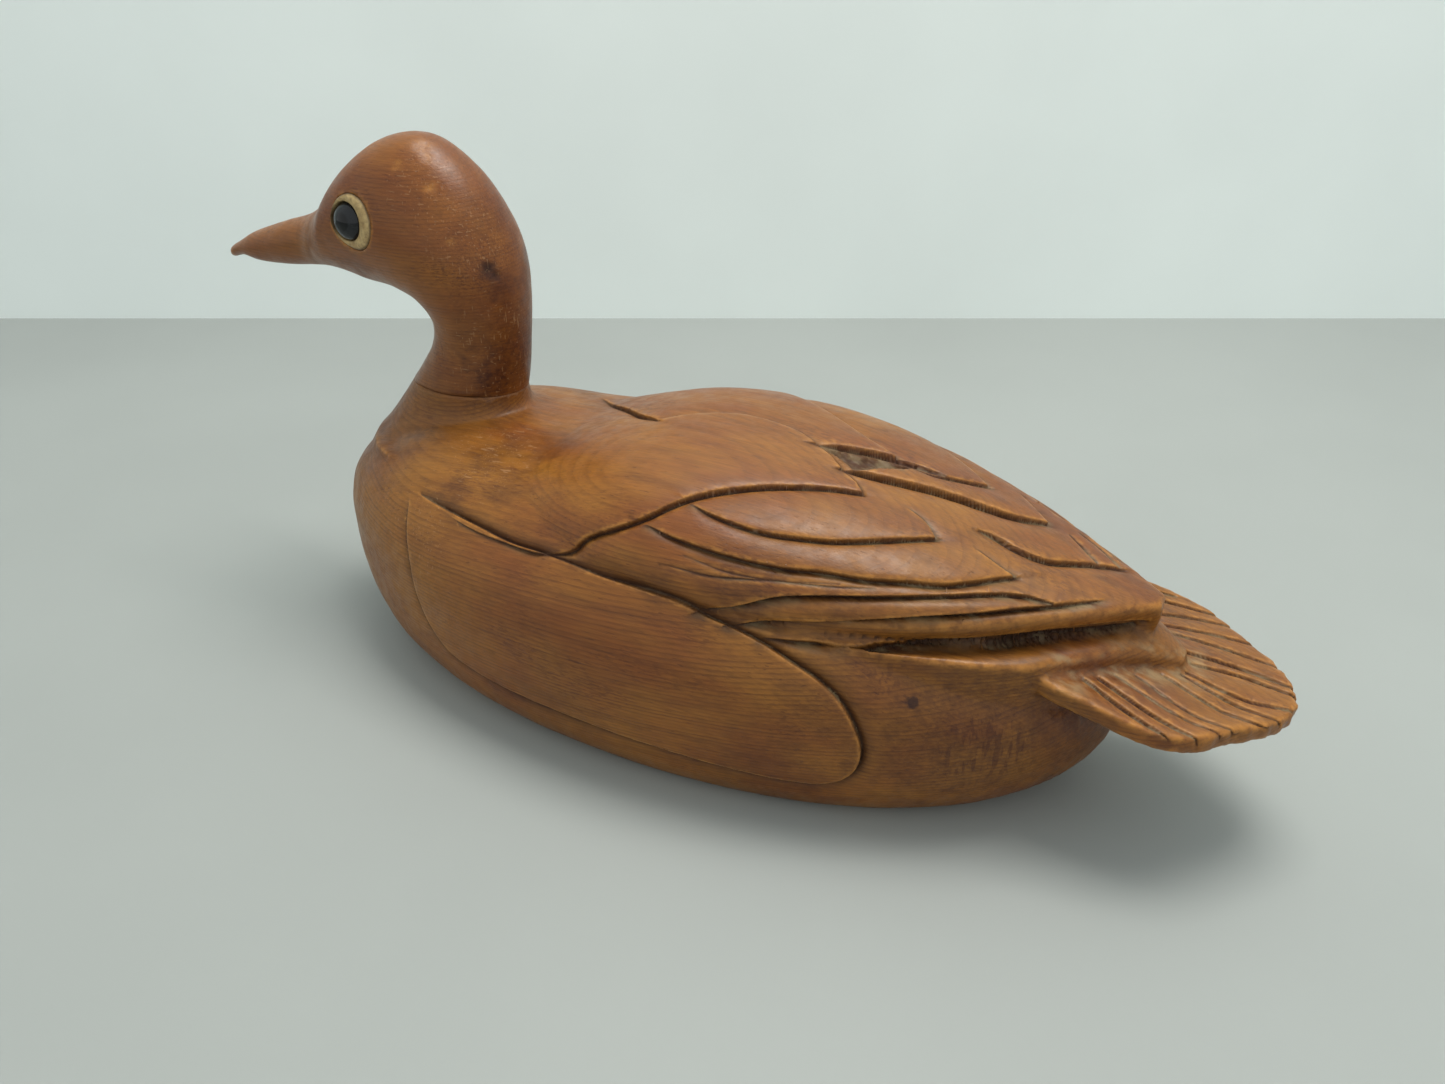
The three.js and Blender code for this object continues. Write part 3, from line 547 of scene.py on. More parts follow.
class Line:
    """A carved line laid on the surface, with its depth at each point.

    soft is the width over which the wood comes back up, foot is the width of the painted shade at the foot of
    the cut, and ink is how dark that painted shade is. A plain line is a V-cut with two equal sides.
    """

    def __init__(self, points, depth, soft, foot, plain=False, shade_strength=1.0):
        self.points, self.depth = np.array(points, float), np.array(depth, float)
        self.soft, self.foot, self.plain, self.shade_strength = soft, foot, plain, shade_strength

    def nearest(self, co, normal, reach):
        """Distance from the line, positive on its right, and the line's depth there. Far points get FAR."""
        low, high = self.points.min(0) - reach, self.points.max(0) + reach
        chosen = np.flatnonzero(((co > low) & (co < high)).all(1))
        coarse = self.points[::8]
        distance, depth = np.full(len(co), FAR), np.zeros(len(co))
        start, along = self.points[:-1], np.diff(self.points, axis=0)
        length2 = np.maximum(1e-9, (along**2).sum(1))
        for part in np.array_split(chosen, max(1, len(chosen) // 8000)):
            rough = ((co[part][:, None] - coarse) ** 2).sum(2).min(1)
            part = part[rough < (reach + 7) ** 2]
            if not len(part):
                continue
            away = co[part][:, None] - start
            t = np.clip((away * along).sum(2) / length2, 0, 1)
            off = away - t[..., None] * along
            far2 = (off**2).sum(2)
            best = far2.argmin(1)
            row = np.arange(len(part))
            right = np.cross(along[best], normal[part])
            side = np.sign((right * off[row, best]).sum(1) + 1e-12)
            distance[part] = np.sqrt(far2[row, best]) * side
            share = t[row, best]
            depth[part] = self.depth[best] * (1 - share) + self.depth[best + 1] * share
        return distance, depth


def dropped(tree, line, on_wings=True):
    """A plan line (x, y, depth) laid on the highest surface under it."""
    smooth = curve(line)
    points = []
    for x, y, _ in smooth:
        if on_wings and WINGS[0][0] < x < -20:
            limit = row_at(WINGS, x)[0] - 0.4
            y = max(-limit, min(limit, y))
        hit = tree.ray_cast(Vector((x, y, 200)) * MM, Vector((0, 0, -1)))[0]
        points.append(tuple(hit / MM) if hit else (x, y, 40))
    return points, smooth[:, 2]


def from_side(tree, line, side):
    """A line (x, z, depth) seen from the side, laid on the nearest surface."""
    points, depths = [], []
    for x, z, depth in curve(line):
        hit = tree.ray_cast(Vector((x, side * 200, z)) * MM, Vector((0, -side, 0)))[0]
        if hit:
            points.append(tuple(hit / MM))
            depths.append(depth)
    return points, depths


def laid_lines(piece):
    """Every carved line, laid on the smooth body."""
    tree = BVHTree.FromObject(piece, bpy.context.evaluated_depsgraph_get())
    lines = [Line(*dropped(tree, line), soft, foot) for line, soft, foot in LEFT_CUTS + RIGHT_CUTS]
    lines += [Line(*dropped(tree, line), 0.8, 0.55, plain=True) for line in GROOVES]
    lines += [Line(*dropped(tree, line, on_wings=False), 1.8, 0.6, shade_strength=0.6) for line in tail_grooves()]
    for line, soft, foot in ((FLANK[::-1], 3.0, 1.5), (FIRST_PRIMARY, 2.6, 1.6), (SECOND_PRIMARY, 2.2, 1.6),
                             (WING_FOOT, 2.0, 1.7)):
        lines.append(Line(*from_side(tree, line, 1), soft, foot))
        lines.append(Line(*from_side(tree, line[::-1], -1), soft, foot))
    # The wings' slab meets the rump in a seam, cut in and darkened with painted shade.
    for side in (1, -1):
        seam = []
        for x in np.arange(-117, -34, 1.0):
            width, edge, _, under = row_at(WINGS, x)
            seam.append((x, side * width * (UNDERCUT + 0.01), edge - under + 0.4))
        depth = 2.6 * smoothstep(-np.array(seam)[:, 0], 34, 44)
        lines.append(Line(seam, depth, 0.8, 0.8, plain=True))
    return lines


def inside_distance(points, outline):
    """Distance inside a plan outline, zero outside it."""
    outline = curve(outline + outline[:1], 1.0)[:, :2]
    start, along = outline[:-1], np.diff(outline, axis=0)
    result = np.zeros(len(points))
    chosen = np.flatnonzero(((points > outline.min(0)) & (points < outline.max(0))).all(1))
    away = points[chosen][:, None] - start
    t = np.clip((away * along).sum(2) / np.maximum(1e-9, (along**2).sum(1)), 0, 1)
    far = np.sqrt(((away - t[..., None] * along) ** 2).sum(2)).min(1)
    y = points[chosen, 1][:, None]
    crosses = (start[:, 1] > y) != (outline[1:, 1] > y)
    with np.errstate(divide="ignore", invalid="ignore"):
        at = start[:, 0] + (y - start[:, 1]) * along[:, 0] / along[:, 1]
    inside = (crosses & (points[chosen, 0][:, None] < at)).sum(1) % 2 == 1
    result[chosen] = np.where(inside, far, 0)
    return result


def carve(piece, lines):
    mesh = piece.data
    co, normal = coordinates(mesh), normals(mesh)
    off_the_base = smoothstep(normal[:, 2], -0.98, -0.93)
    # Cuts that cross are joined by the sixth root of the sum of their sixth powers, a smooth maximum.
    sixth, dark, plain_drop = np.zeros(len(co)), np.zeros(len(co)), np.zeros(len(co))
    for line in lines:
        distance, depth = line.nearest(co, normal, 4.0 if line.plain else 3 * line.soft)
        if line.plain:
            away = np.abs(distance)
            drop = depth * (0.75 * np.exp(-away / line.foot) + 0.25 * np.exp(-away / line.soft / 1.6))
            plain_drop = np.maximum(plain_drop, drop)
            # Painted shade along the bottom of a plain cut.
            dark = np.maximum(dark, np.clip(depth, 0, 1) * np.exp(-((away / line.foot) ** 2)))
            continue
        below = np.maximum(distance, 0)
        low = 0.64 * np.exp(-below / line.soft) + 0.36 * np.exp(-((below / line.foot) ** 1.4))
        wall = np.clip(1 + distance / WALL, LIP, 1)
        rounded = LIP * np.exp(-np.maximum(-distance - WALL, 0) / 0.9)
        share = np.where(distance >= 0, low, np.where(distance > -WALL, wall, rounded))
        sixth += (depth * share * off_the_base) ** 6
        # Painted shadow: the foot of each cut is darkened where the raised edge above it casts shade.
        shadow = np.exp(-np.where(distance >= 0, distance / line.foot, -distance / 0.2) ** 1.5)
        dark = np.maximum(dark, line.shade_strength * shadow * np.clip(depth, 0, 1) * off_the_base)
    drop = sixth ** (1 / 6) + plain_drop
    upward = smoothstep(normal[:, 2], 0.1, 0.4)
    depth_in = inside_distance(co[:, :2], PIT) * upward * (co[:, 2] > 60)
    pit = PIT_DEPTH * smoothstep(depth_in, 0, 3.2)
    drop = np.maximum(drop, pit)
    # Painted shade in the hollow between the shoulders.
    dark = np.maximum(dark, 0.85 * smoothstep(depth_in, 0, 1.2))
    wobble = (0.16 * lattice_noise(co / [2.2, 1, 1], 8.0, SEED)
              + 0.05 * lattice_noise(co / [2, 1, 1], 2.4, SEED + 1))
    rough_stern = smoothstep(-co[:, 0], 70, 90) * smoothstep(-co[:, 2], -46, -36)
    wobble += 0.16 * rough_stern * lattice_noise(co / [0.5, 0.5, 2.0], 2.2, SEED + 2)
    wobble += 0.09 * smoothstep(drop, 0.8, 2.2) * lattice_noise(co / [3, 1, 1], 1.6, SEED + 3)
    wobble += 0.35 * smoothstep(depth_in, 0.5, 2.0) * lattice_noise(co, 1.8, SEED + 4)
    set_coordinates(mesh, co + normal * (wobble - drop)[:, None])
    # The painted shade of the cuts, grooves and pit is stored for the wood's colour.
    attribute(mesh, "groove_shade", np.clip(dark, 0, 1))


def screw_places():
    """Places of the board screws, (x, y), evenly round the board and none of them at its ends."""
    reach = (BOARD["half_length"] - BOARD_SCREWS["inset"], BOARD["half_width"] - BOARD_SCREWS["inset"])
    places = []
    for n in range(BOARD_SCREWS["count"]):
        angle = (n + 0.5) * math.pi / (BOARD_SCREWS["count"] / 2)
        places.append((BOARD["x"] + reach[0] * math.cos(angle), reach[1] * math.sin(angle)))
    return places


def hole(x, y, radius, low, high, around=20):
    outline = ellipse(0, radius, radius, around) + [x, y]
    return prism(outline, low, high)


def hollow_out(piece):
    """Cuts the base and the neck seam flat, and opens the cavity, the rebate, the pocket and the holes."""
    under, over = -5, 120  # well below the base and above the neck seam
    cut(piece, *prism([(-300, -200), (300, -200), (300, 200), (-300, 200)], -60, 0))
    cut(piece, *prism(ellipse(NECK["x"], 30, 24), NECK["seam"], over))
    cut(piece, *cavity_loft())
    inner = (BOARD["half_length"] - BOARD["gasket_width"], BOARD["half_width"] - BOARD["gasket_width"])
    cut(piece, *prism(ellipse(BOARD["x"], *inner), under, 25))
    outer = (BOARD["half_length"] + CLEARANCE, BOARD["half_width"] + CLEARANCE)
    cut(piece, *prism(ellipse(BOARD["x"], *outer), under, BOARD["rebate"]))
    pocket = rounded_rectangle(POCKET["x"], POCKET["length"], POCKET["width"], POCKET["corner"])
    cut(piece, *prism(pocket, under, POCKET["depth"]))
    cut(piece, *hole(DOWEL["x"], 0, DOWEL["radius"], DOWEL["bottom"], over, 40))
    clip = CLIP_SCREW_HOLE
    cut(piece, *hole(clip["x"], 0, clip["radius"], clip["low"], clip["high"]))
    for x, y in screw_places():
        cut(piece, *hole(x, y, BOARD_SCREWS["radius"], BOARD_SCREWS["low"], BOARD_SCREWS["high"]))


def settle(piece, target):
    """Works out, from the shape, the edges lightened for wear and painted highlight and the corners darkened
    with painted shade, then thins the mesh where it is smooth.
    """
    curvature = bend(piece.data)
    # Convex edges are lightened, partly as wear and partly as painted highlight; the knocks marked bare are
    # wear.
    wear_and_highlight = smoothstep(curvature, 0.03, 0.16)
    if "bare" in piece.data.attributes:
        wear_and_highlight = np.maximum(wear_and_highlight, read_attribute(piece.data, "bare"))
    co = coordinates(piece.data)
    # The rims that cutting leaves at the neck seam get neither the edges' lightening for wear and painted
    # highlight nor the painted shade of corners.
    by_seam = (co[:, 0] > 60) & (np.abs(co[:, 2] - NECK["seam"]) < 3.5) & (np.abs(co[:, 1]) < 24)
    attribute(piece.data, "edge", np.where(by_seam, 0, wear_and_highlight))
    # Painted shade: concave corners are darkened.
    painted_corner_shade = 0.8 * smoothstep(-curvature, 0.06, 0.3) * ~by_seam
    attribute(piece.data, "groove_shade", np.maximum(read_attribute(piece.data, "groove_shade"), painted_corner_shade))
    apply_modifier(piece, "TRIANGULATE")
    count = len(piece.data.polygons)
    if count > target:
        apply_modifier(piece, "DECIMATE", ratio=target / count)


VOXEL = 0.95
BODY_TRIANGLES = 190000
HEAD_TRIANGLES = 90000


def build_body():
    parts = [hull_loft(), neck_shelf_loft(), slab_loft(WINGS), slab_loft(RUMP), tail_loft()]
    piece = new_object("carved_body", *joined(parts))
    apply_modifier(piece, "REMESH", mode="VOXEL", voxel_size=VOXEL * MM, use_smooth_shade=True)
    relax(piece.data, 1)
    lines = laid_lines(piece)

    def distance_of(co):
        best = np.full(len(co), FAR)
        upright = np.tile([0.0, 0.0, 1.0], (len(co), 1))
        for line in lines:
            best = np.minimum(best, np.abs(line.nearest(co, upright, 3.0)[0]))
        return best

    refine(piece, distance_of, (2.0, 0.9))
    carve(piece, lines)
    hollow_out(piece)
    settle(piece, BODY_TRIANGLES)
    return piece


def inside_eye_frame(side):
    """The eye's frame: Z points out of the head and X to the bill. side is 1 for left, -1 for right."""
    outward = Vector((0.04, side, 0.14)).normalized()
    forward = (Vector((1, 0, 0)) - outward * outward.x).normalized()
    up = outward.cross(forward)
    turn = Matrix((forward, up, outward)).transposed().to_4x4()
    return Matrix.Translation((EYE["x"], side * EYE["y"], EYE["z"])) @ turn


def placed(matrix, verts):
    m = np.array(matrix)
    return np.asarray(verts, float) @ m[:3, :3].T + m[:3, 3]


# Small knocks in the head, (x, y, z, radius, depth).
KNOCKS = [
    (93.7, 11.8, 145.1, 1.3, 0.3), (83.8, 11.4, 140.2, 1.3, 0.35), (76, 14.5, 127, 0.9, 0.25),
    (89.9, 4.8, 149.2, 2.6, 0.25), (87, 7, 147.8, 1.6, 0.25), (71, 4, 126, 1.0, 0.3),
    (72, 6, 130, 0.8, 0.3)]
CRACKS = [(68.4, 9.1, 119, 1.5, 0.5), (67.2, 7.5, 117, 1.0, 0.4)]


def build_head():
    piece = new_object("carved_head", *head_loft())
    mesh = piece.data
    co, normal = coordinates(mesh), normals(mesh)
    marks = {}
    for name, places in (("bare", KNOCKS), ("crack", CRACKS)):
        marks[name] = np.zeros(len(co))
        for x, y, z, radius, depth in places:
            far = np.linalg.norm(co - [x, y, z], axis=1) * (1 + 0.4 * lattice_noise(co, 0.9, SEED + 5))
            marks[name] += depth * np.exp(-((far / radius) ** 2))
    drop = marks["bare"] + marks["crack"]
    # A faint crease where the bill meets the face.
    bill_line = co[:, 0] - 135.0 - 0.25 * (118 - co[:, 2])
    crease = np.exp(-((bill_line / 1.8) ** 2)) * smoothstep(np.abs(co[:, 1]), 3.0, 7.0)
    drop += 0.3 * crease
    # The seam under the head stands open at the left and in front.
    angle = np.degrees(np.arctan2(co[:, 1], co[:, 0] - NECK["x"]))
    open_seam = smoothstep(angle, 35, 60) * smoothstep(-angle, -150, -125)
    lip = np.exp(-np.maximum(0, co[:, 2] - NECK["seam"]) / 0.45) * (co[:, 2] < 90)
    drop += 0.7 * open_seam * lip
    wobble = 0.16 * lattice_noise(co, 9.0, SEED + 6) + 0.04 * lattice_noise(co, 2.6, SEED + 7)
    set_coordinates(mesh, co + normal * (wobble - drop)[:, None])
    # The crease, the open seam and the cracks are darkened with painted shade; the knocks are kept as bare
    # wood.
    attribute(mesh, "groove_shade", np.clip(0.12 * crease + 0.9 * open_seam * lip + 2 * marks["crack"], 0, 1))
    attribute(mesh, "bare", np.clip(3 * marks["bare"], 0, 1))
    tree = BVHTree.FromObject(piece, bpy.context.evaluated_depsgraph_get())
    cut(piece, *prism([(0, -100), (200, -100), (200, 100), (0, 100)], 0, NECK["seam"] + 0.03))
    cut(piece, *hole(DOWEL["x"], 0, DOWEL["radius"], 60, DOWEL["top"], 40))
    for side in (1, -1):
        eye_frame = inside_eye_frame(side)
        for verts, faces in (
                hole(0, 0, EYE["bed"] + CLEARANCE, -EYE["bed_depth"] - CLEARANCE, 12, 72),
                hole(EYE["forward"], 0, EYE_WIRE_HOLE["radius"], -EYE_WIRE_HOLE["depth"], 0, 12)):
            cut(piece, placed(eye_frame, verts), faces)
    settle(piece, HEAD_TRIANGLES)
    return piece, tree


def build_putty(name, side, head_tree):
    """The ring of putty round a glass eye, level with the head at its rim and pressed against the glass."""
    eye_frame = inside_eye_frame(side)
    around, steps = 96, 12
    outward = (eye_frame.to_3x3() @ Vector((0, 0, 1))).normalized()
    rings = []
    angles = turns(around)
    rim = np.column_stack([np.cos(angles), np.sin(angles)])
    hole_rim = rim * (EYE["glass"] + 0.08) + [EYE["forward"], 0]
    outer_rim = rim * (EYE["bed"] + 0.12)
    for i in range(steps + 1):
        share = i / steps
        flat = hole_rim * (1 - share) + outer_rim * share
        ring = []
        for u, v in flat:
            start = eye_frame @ Vector((u, v, 15))
            hit = head_tree.ray_cast(start * MM, -outward)[0]
            ring.append((eye_frame.inverted() @ (hit / MM)).z)
        noise_at = np.column_stack([flat, np.full(around, 5.0 * side)])  # so that the two eyes differ
        lump = 0.16 * lattice_noise(noise_at, 2.2, SEED + 8) + 0.07 * lattice_noise(noise_at, 0.8, SEED + 9)
        swell = 0.55 * math.sin(math.pi * min(1, share * 1.05)) ** 0.6 - 0.35 * (share > 0.99)
        rings.append(np.column_stack([flat, np.array(ring) + swell + lump * math.sin(math.pi * share) - 0.1]))
    low = -EYE["bed_depth"]
    rings.append(np.column_stack([outer_rim * 0.985, np.full(around, low)]))
    rings.append(np.column_stack([hole_rim, np.full(around, low)]))
    rings = np.array(rings)
    count = len(rings)
    faces = []
    for i in range(count):
        for j in range(around):
            k, n = (j + 1) % around, (i + 1) % count
            faces.append((i * around + j, n * around + j, n * around + k, i * around + k))
    return new_object(name, placed(eye_frame, rings.reshape(-1, 3)), faces)


def build_glass(name, side):
    """A glass eye, a dome over a short straight side."""
    eye_frame = inside_eye_frame(side)
    around, steps = 72, 24
    chamfer, straight = 0.3, 1.2
    radius, bottom = EYE["glass"], EYE["glass_floor"]
    profile = [(radius - chamfer, bottom), (radius, bottom + chamfer)]
    for i in range(steps + 1):
        angle = i / steps * math.pi / 2
        profile.append((radius * math.cos(angle), bottom + straight + EYE["dome"] * math.sin(angle)))
    angles = turns(around)
    rings = [np.column_stack([EYE["forward"] + r * np.cos(angles), r * np.sin(angles), np.full(around, z)])
             for r, z in profile[:-1]]
    verts, faces = loft(rings)
    top = np.array([[EYE["forward"], 0, profile[-1][1]]])
    faces = faces[:-1]
    last = (len(rings) - 1) * around
    faces += [(last + j, last + (j + 1) % around, len(verts)) for j in range(around)]
    return new_object(name, placed(eye_frame, np.vstack([verts, top])), faces)


# ---------- materials ----------
def srgb(red, green, blue):
    """A colour given as 0 to 255 in sRGB, as the linear value a node takes."""
    out = []
    for value in (red, green, blue):
        v = value / 255
        out.append(v / 12.92 if v <= 0.04045 else ((v + 0.055) / 1.055) ** 2.4)
    return (*out, 1)


MARK_COLOURS = dict(knot=srgb(44, 20, 12), chatter=srgb(62, 26, 16), scratches=srgb(176, 136, 96))
# (kind, place, radius, strength)
BODY_MARKS = [
    ("knot", (-73.1, 42.9, 41.8), 2.0, 0.8), ("knot", (-78, 41, 45), 0.9, 0.7),
    ("chatter", (-90, 36.5, 28), 13, 0.5), ("chatter", (-66, 43, 47), 6, 0.35),
    ("scratches", (60, 25, 70), 18, 0.35), ("scratches", (74, 46, 50), 16, 0.3)]
HEAD_MARKS = [
    ("scratches", (68, 7, 93), 20, 0.34), ("scratches", (72, 12, 128), 14, 0.32),
    ("scratches", (86, 12, 142), 12, 0.3)]


class Paint:
    """A material whose nodes are built one value at a time."""

    def __init__(self, name):
        self.material = bpy.data.materials.new(name)
        self.material.use_nodes = True
        self.tree = self.material.node_tree
        self.shader = self.tree.nodes["Principled BSDF"]
        coordinate = self.tree.nodes.new("ShaderNodeTexCoord").outputs["Object"]
        self.place = self.node("VectorMath", {0: coordinate, "Scale": 1 / MM}, operation="SCALE")

    def feed(self, socket, value):
        if isinstance(value, bpy.types.NodeSocket):
            self.tree.links.new(value, socket)
        else:
            socket.default_value = value

    def node(self, kind, inputs, output=0, **settings):
        made = self.tree.nodes.new("ShaderNode" + kind)
        for key, value in settings.items():
            setattr(made, key, value)
        for key, value in inputs.items():
            self.feed(made.inputs[key], value)
        return made.outputs[output]

    def math(self, operation, a, b=0.0):
        return self.node("Math", {0: a, 1: b}, operation=operation)

    def times(self, a, b):
        return self.math("MULTIPLY", a, b)

    def plus(self, a, b):
        return self.math("ADD", a, b)

    def noise(self, size, detail=2.0, roughness=0.5, stretch=None, grain=None):
        """Noise from 0 to 1 with features about size millimetres across.

        stretch scales the place before the noise is read. grain does so along X: a small one gives streaks.
        """
        place = self.place
        if grain:
            stretch = (grain, 1, 1)
        if stretch:
            place = self.node("VectorMath", {0: place, 1: stretch}, operation="MULTIPLY")
        inputs = {"Vector": place, "Scale": 1 / size, "Detail": detail, "Roughness": roughness}
        return self.node("TexNoise", inputs)

    def mapped(self, value, low, high, start=0.0, end=1.0):
        inputs = {"Value": value, "From Min": low, "From Max": high, "To Min": start, "To Max": end}
        return self.node("MapRange", inputs, interpolation_type="SMOOTHSTEP")

    def mix(self, share, a, b, blend="MIX"):
        return self.node("Mix", {0: share, 6: a, 7: b}, output=2, data_type="RGBA", blend_type=blend)

    def mark(self, kind, place, radius):
        """A knot, a patch of upright chatter marks left by a tool, or a patch of scratches, round a place."""
        ragged = self.mapped(self.noise(1.6, 3.0, 0.6), 0.3, 0.7, 0.75, 1.3)
        away = self.node("VectorMath", {0: self.place, 1: place}, output=1, operation="DISTANCE")
        patch = self.mapped(self.times(away, ragged), radius, 0.6 * radius)
        if kind == "knot":
            return patch
        if kind == "chatter":
            return self.times(patch, self.mapped(self.noise(1.5, 2.0, stretch=(1, 1, 0.2)), 0.5, 0.6))
        up = self.mapped(self.noise(0.5, 1.0, stretch=(1, 1, 0.1)), 0.66, 0.72)
        along = self.mapped(self.noise(0.5, 1.0, stretch=(0.1, 0.4, 0.8)), 0.66, 0.72)
        return self.times(patch, self.math("MAXIMUM", up, along))

    def stored(self, name):
        return self.node("Attribute", {}, output=2, attribute_name=name)

    def set(self, **inputs):
        for key, value in inputs.items():
            self.feed(self.shader.inputs[key.replace("_", " ")], value)
        return self

    def bump(self, height, distance, strength=1.0):
        """height is a value near 0 to 1, and distance is what 1 stands for in millimetres."""
        inputs = {"Height": height, "Distance": distance * MM, "Strength": strength}
        self.feed(self.shader.inputs["Normal"], self.node("Bump", inputs))
        return self


def wood(name, light, warm, late, ring=1.15, figure=0.5, stained=True, tilt=(0.06, 0.45), gloss=0.42,
         marks=()):
    """Waxed softwood, with growth rings, fibres, pores, stains, painted shade in the cuts and corners, and
    wear and painted highlight on the edges.

    ring is the distance between growth rings, figure is how strongly they show, and tilt is how they lean
    along X and Y.
    """
    p = Paint(name)
    xyz = p.tree.nodes.new("ShaderNodeSeparateXYZ")
    p.feed(xyz.inputs[0], p.place)
    x, y, z = xyz.outputs
    slow = p.times(p.math("SUBTRACT", p.noise(45, 1.0, grain=0.3), 0.5), 7.0)
    quick = p.times(p.math("SUBTRACT", p.noise(9, 2.0, grain=0.3), 0.5), 0.7)
    rings = p.plus(z, p.plus(p.times(x, tilt[0]), p.times(y, tilt[1])))
    curl = 0.004  # bends the rings down at the sides, as they are near the heart of the tree
    rings = p.math("SUBTRACT", rings, p.times(p.times(y, y), curl))
    rings = p.math("DIVIDE", p.plus(rings, p.plus(slow, quick)), ring)
    phase = p.math("FRACT", rings)
    line = p.times(p.mapped(phase, 0.35, 0.9), p.mapped(phase, 1.0, 0.93))
    strength = p.node("TexNoise", {"W": rings, "Scale": 0.43, "Detail": 1.0}, noise_dimensions="1D")
    line = p.times(line, p.mapped(strength, 0.3, 0.72, 0.45, 1.0))
    facing = p.tree.nodes.new("ShaderNodeSeparateXYZ")
    p.feed(facing.inputs[0], p.tree.nodes.new("ShaderNodeTexCoord").outputs["Normal"])
    line = p.times(line, p.mapped(facing.outputs[2], 0.35, 0.85, 1.0, 0.55))
    fibre = p.noise(0.55, 3.0, 0.65, grain=0.05)
    streak = p.noise(3.2, 3.0, 0.6, grain=0.05)
    pores = p.mapped(p.noise(0.42, 1.0, 0.5, grain=0.1), 0.66, 0.75)
    tone = p.mapped(p.noise(26, 3.0, 0.6, grain=0.5), 0.3, 0.7)
    colour = p.mix(tone, light, warm)
    colour = p.mix(p.times(p.mapped(streak, 0.45, 0.75), figure * 0.7), colour, late)
    colour = p.mix(p.times(line, figure), colour, late)
    colour = p.mix(p.times(pores, 0.45), colour, late)
    shade = p.mapped(fibre, 0.25, 0.75, 0.84, 1.12)
    colour = p.node("VectorMath", {0: colour, "Scale": shade}, operation="SCALE")
    rough = p.mapped(p.noise(4, 3.0, 0.6), 0.3, 0.7, gloss - 0.07, gloss + 0.08)
    if stained:
        stain, groove_shade, edge = p.stored("stain"), p.stored("groove_shade"), p.stored("edge")
        grain_break = p.mapped(p.noise(1.6, 4.0, 0.7, grain=0.4), 0.3, 0.7, 0.45, 1.25)
        colour = p.mix(p.math("MINIMUM", p.times(stain, grain_break), 1.0), colour, srgb(58, 26, 16))
        # Edges are lightened, partly as wear and partly as painted highlight.
        wear_and_highlight = p.times(edge, p.mapped(p.noise(3.5, 3.0, 0.6), 0.35, 0.62, 0.15, 0.75))
        colour = p.mix(wear_and_highlight, colour, srgb(178, 120, 52))
        # Painted shade in the cuts, grooves, creases and corners.
        depth = p.math("POWER", groove_shade, 0.8)
        colour = p.mix(p.times(depth, 0.9), colour, srgb(40, 21, 12))
        fray = p.mapped(p.noise(0.5, 2.0, 0.6, grain=0.16), 0.5, 0.62)
        rough_patch = p.mapped(p.noise(14, 3.0, 0.6, grain=0.5), 0.45, 0.7)
        colour = p.mix(p.times(p.times(fray, rough_patch), 0.5), colour, srgb(70, 32, 18))
        for kind, place, radius, amount in marks:
            colour = p.mix(p.times(p.mark(kind, place, radius), amount), colour, MARK_COLOURS[kind])
        dusty = p.mapped(p.noise(3.0, 4.0, 0.55, grain=0.4), 0.4, 0.66)
        dust = p.times(p.times(p.stored("dust"), dusty), 0.75)
        colour = p.mix(dust, colour, srgb(150, 132, 98))
        rough = p.plus(rough, p.times(p.math("MAXIMUM", groove_shade, dust), 0.35))
    height = p.plus(p.times(fibre, 0.5), p.times(p.noise(1.3, 4.0, 0.6), 0.6))
    height = p.math("SUBTRACT", height, p.plus(p.times(line, 0.25), p.times(pores, 0.4)))
    p.set(Base_Color=colour, Roughness=rough, Specular_IOR_Level=0.32, Coat_Weight=0.05, Coat_Roughness=0.25)
    return p.bump(height, 0.10, 0.7).material


def metal(name, colour, dirt, roughness, metallic=1.0):
    p = Paint(name)
    patches = p.mapped(p.noise(3.0, 5.0, 0.65), 0.42, 0.68)
    scratch = p.noise(0.5, 3.0, 0.6, grain=0.12)
    p.set(Base_Color=p.mix(patches, colour, dirt), Metallic=metallic,
          Roughness=p.mapped(scratch, 0.3, 0.7, roughness - 0.1, roughness + 0.15))
    return p.bump(scratch, 0.03, 0.5).material


def putty_paint():
    p = Paint("eye_putty_paint")
    grime = p.mapped(p.noise(1.2, 4.0, 0.65), 0.4, 0.72)
    colour = p.mix(p.mapped(p.noise(3.0, 3.0), 0.35, 0.65), srgb(192, 166, 114), srgb(168, 140, 90))
    colour = p.mix(p.times(grime, 0.55), colour, srgb(98, 70, 40))
    # Painted shadow line round the putty's outer edge, where it meets the head.
    colour = p.mix(p.stored("rim"), colour, srgb(60, 36, 20))
    p.set(Base_Color=colour, Roughness=p.mapped(p.noise(0.8), 0.3, 0.7, 0.5, 0.72))
    return p.bump(p.noise(0.6, 4.0, 0.65), 0.12, 0.8).material


def glass_paint():
    """Dark glass over a painted back: a black pupil in a slate iris."""
    p = Paint("eye_glass_paint")
    radius = p.plus(p.stored("radius"), p.times(p.math("SUBTRACT", p.noise(1.0), 0.5), 0.25))
    iris = p.mix(p.noise(0.7, 2.0), srgb(16, 18, 21), srgb(27, 29, 33))
    colour = p.mix(p.mapped(radius, 2.2, 2.8), srgb(3, 3, 4), iris)
    p.set(Base_Color=colour, Roughness=0.1, IOR=1.42)
    return p.material


def rubber_paint():
    p = Paint("rubber")
    p.set(Base_Color=p.mix(p.noise(2.0, 3.0), srgb(38, 36, 34), srgb(62, 58, 54)),
          Roughness=p.mapped(p.noise(1.0, 3.0), 0.3, 0.7, 0.75, 0.92))
    return p.bump(p.noise(0.5, 3.0), 0.05, 0.6).material


def dress(piece, material):
    piece.data.materials.clear()
    piece.data.materials.append(material)


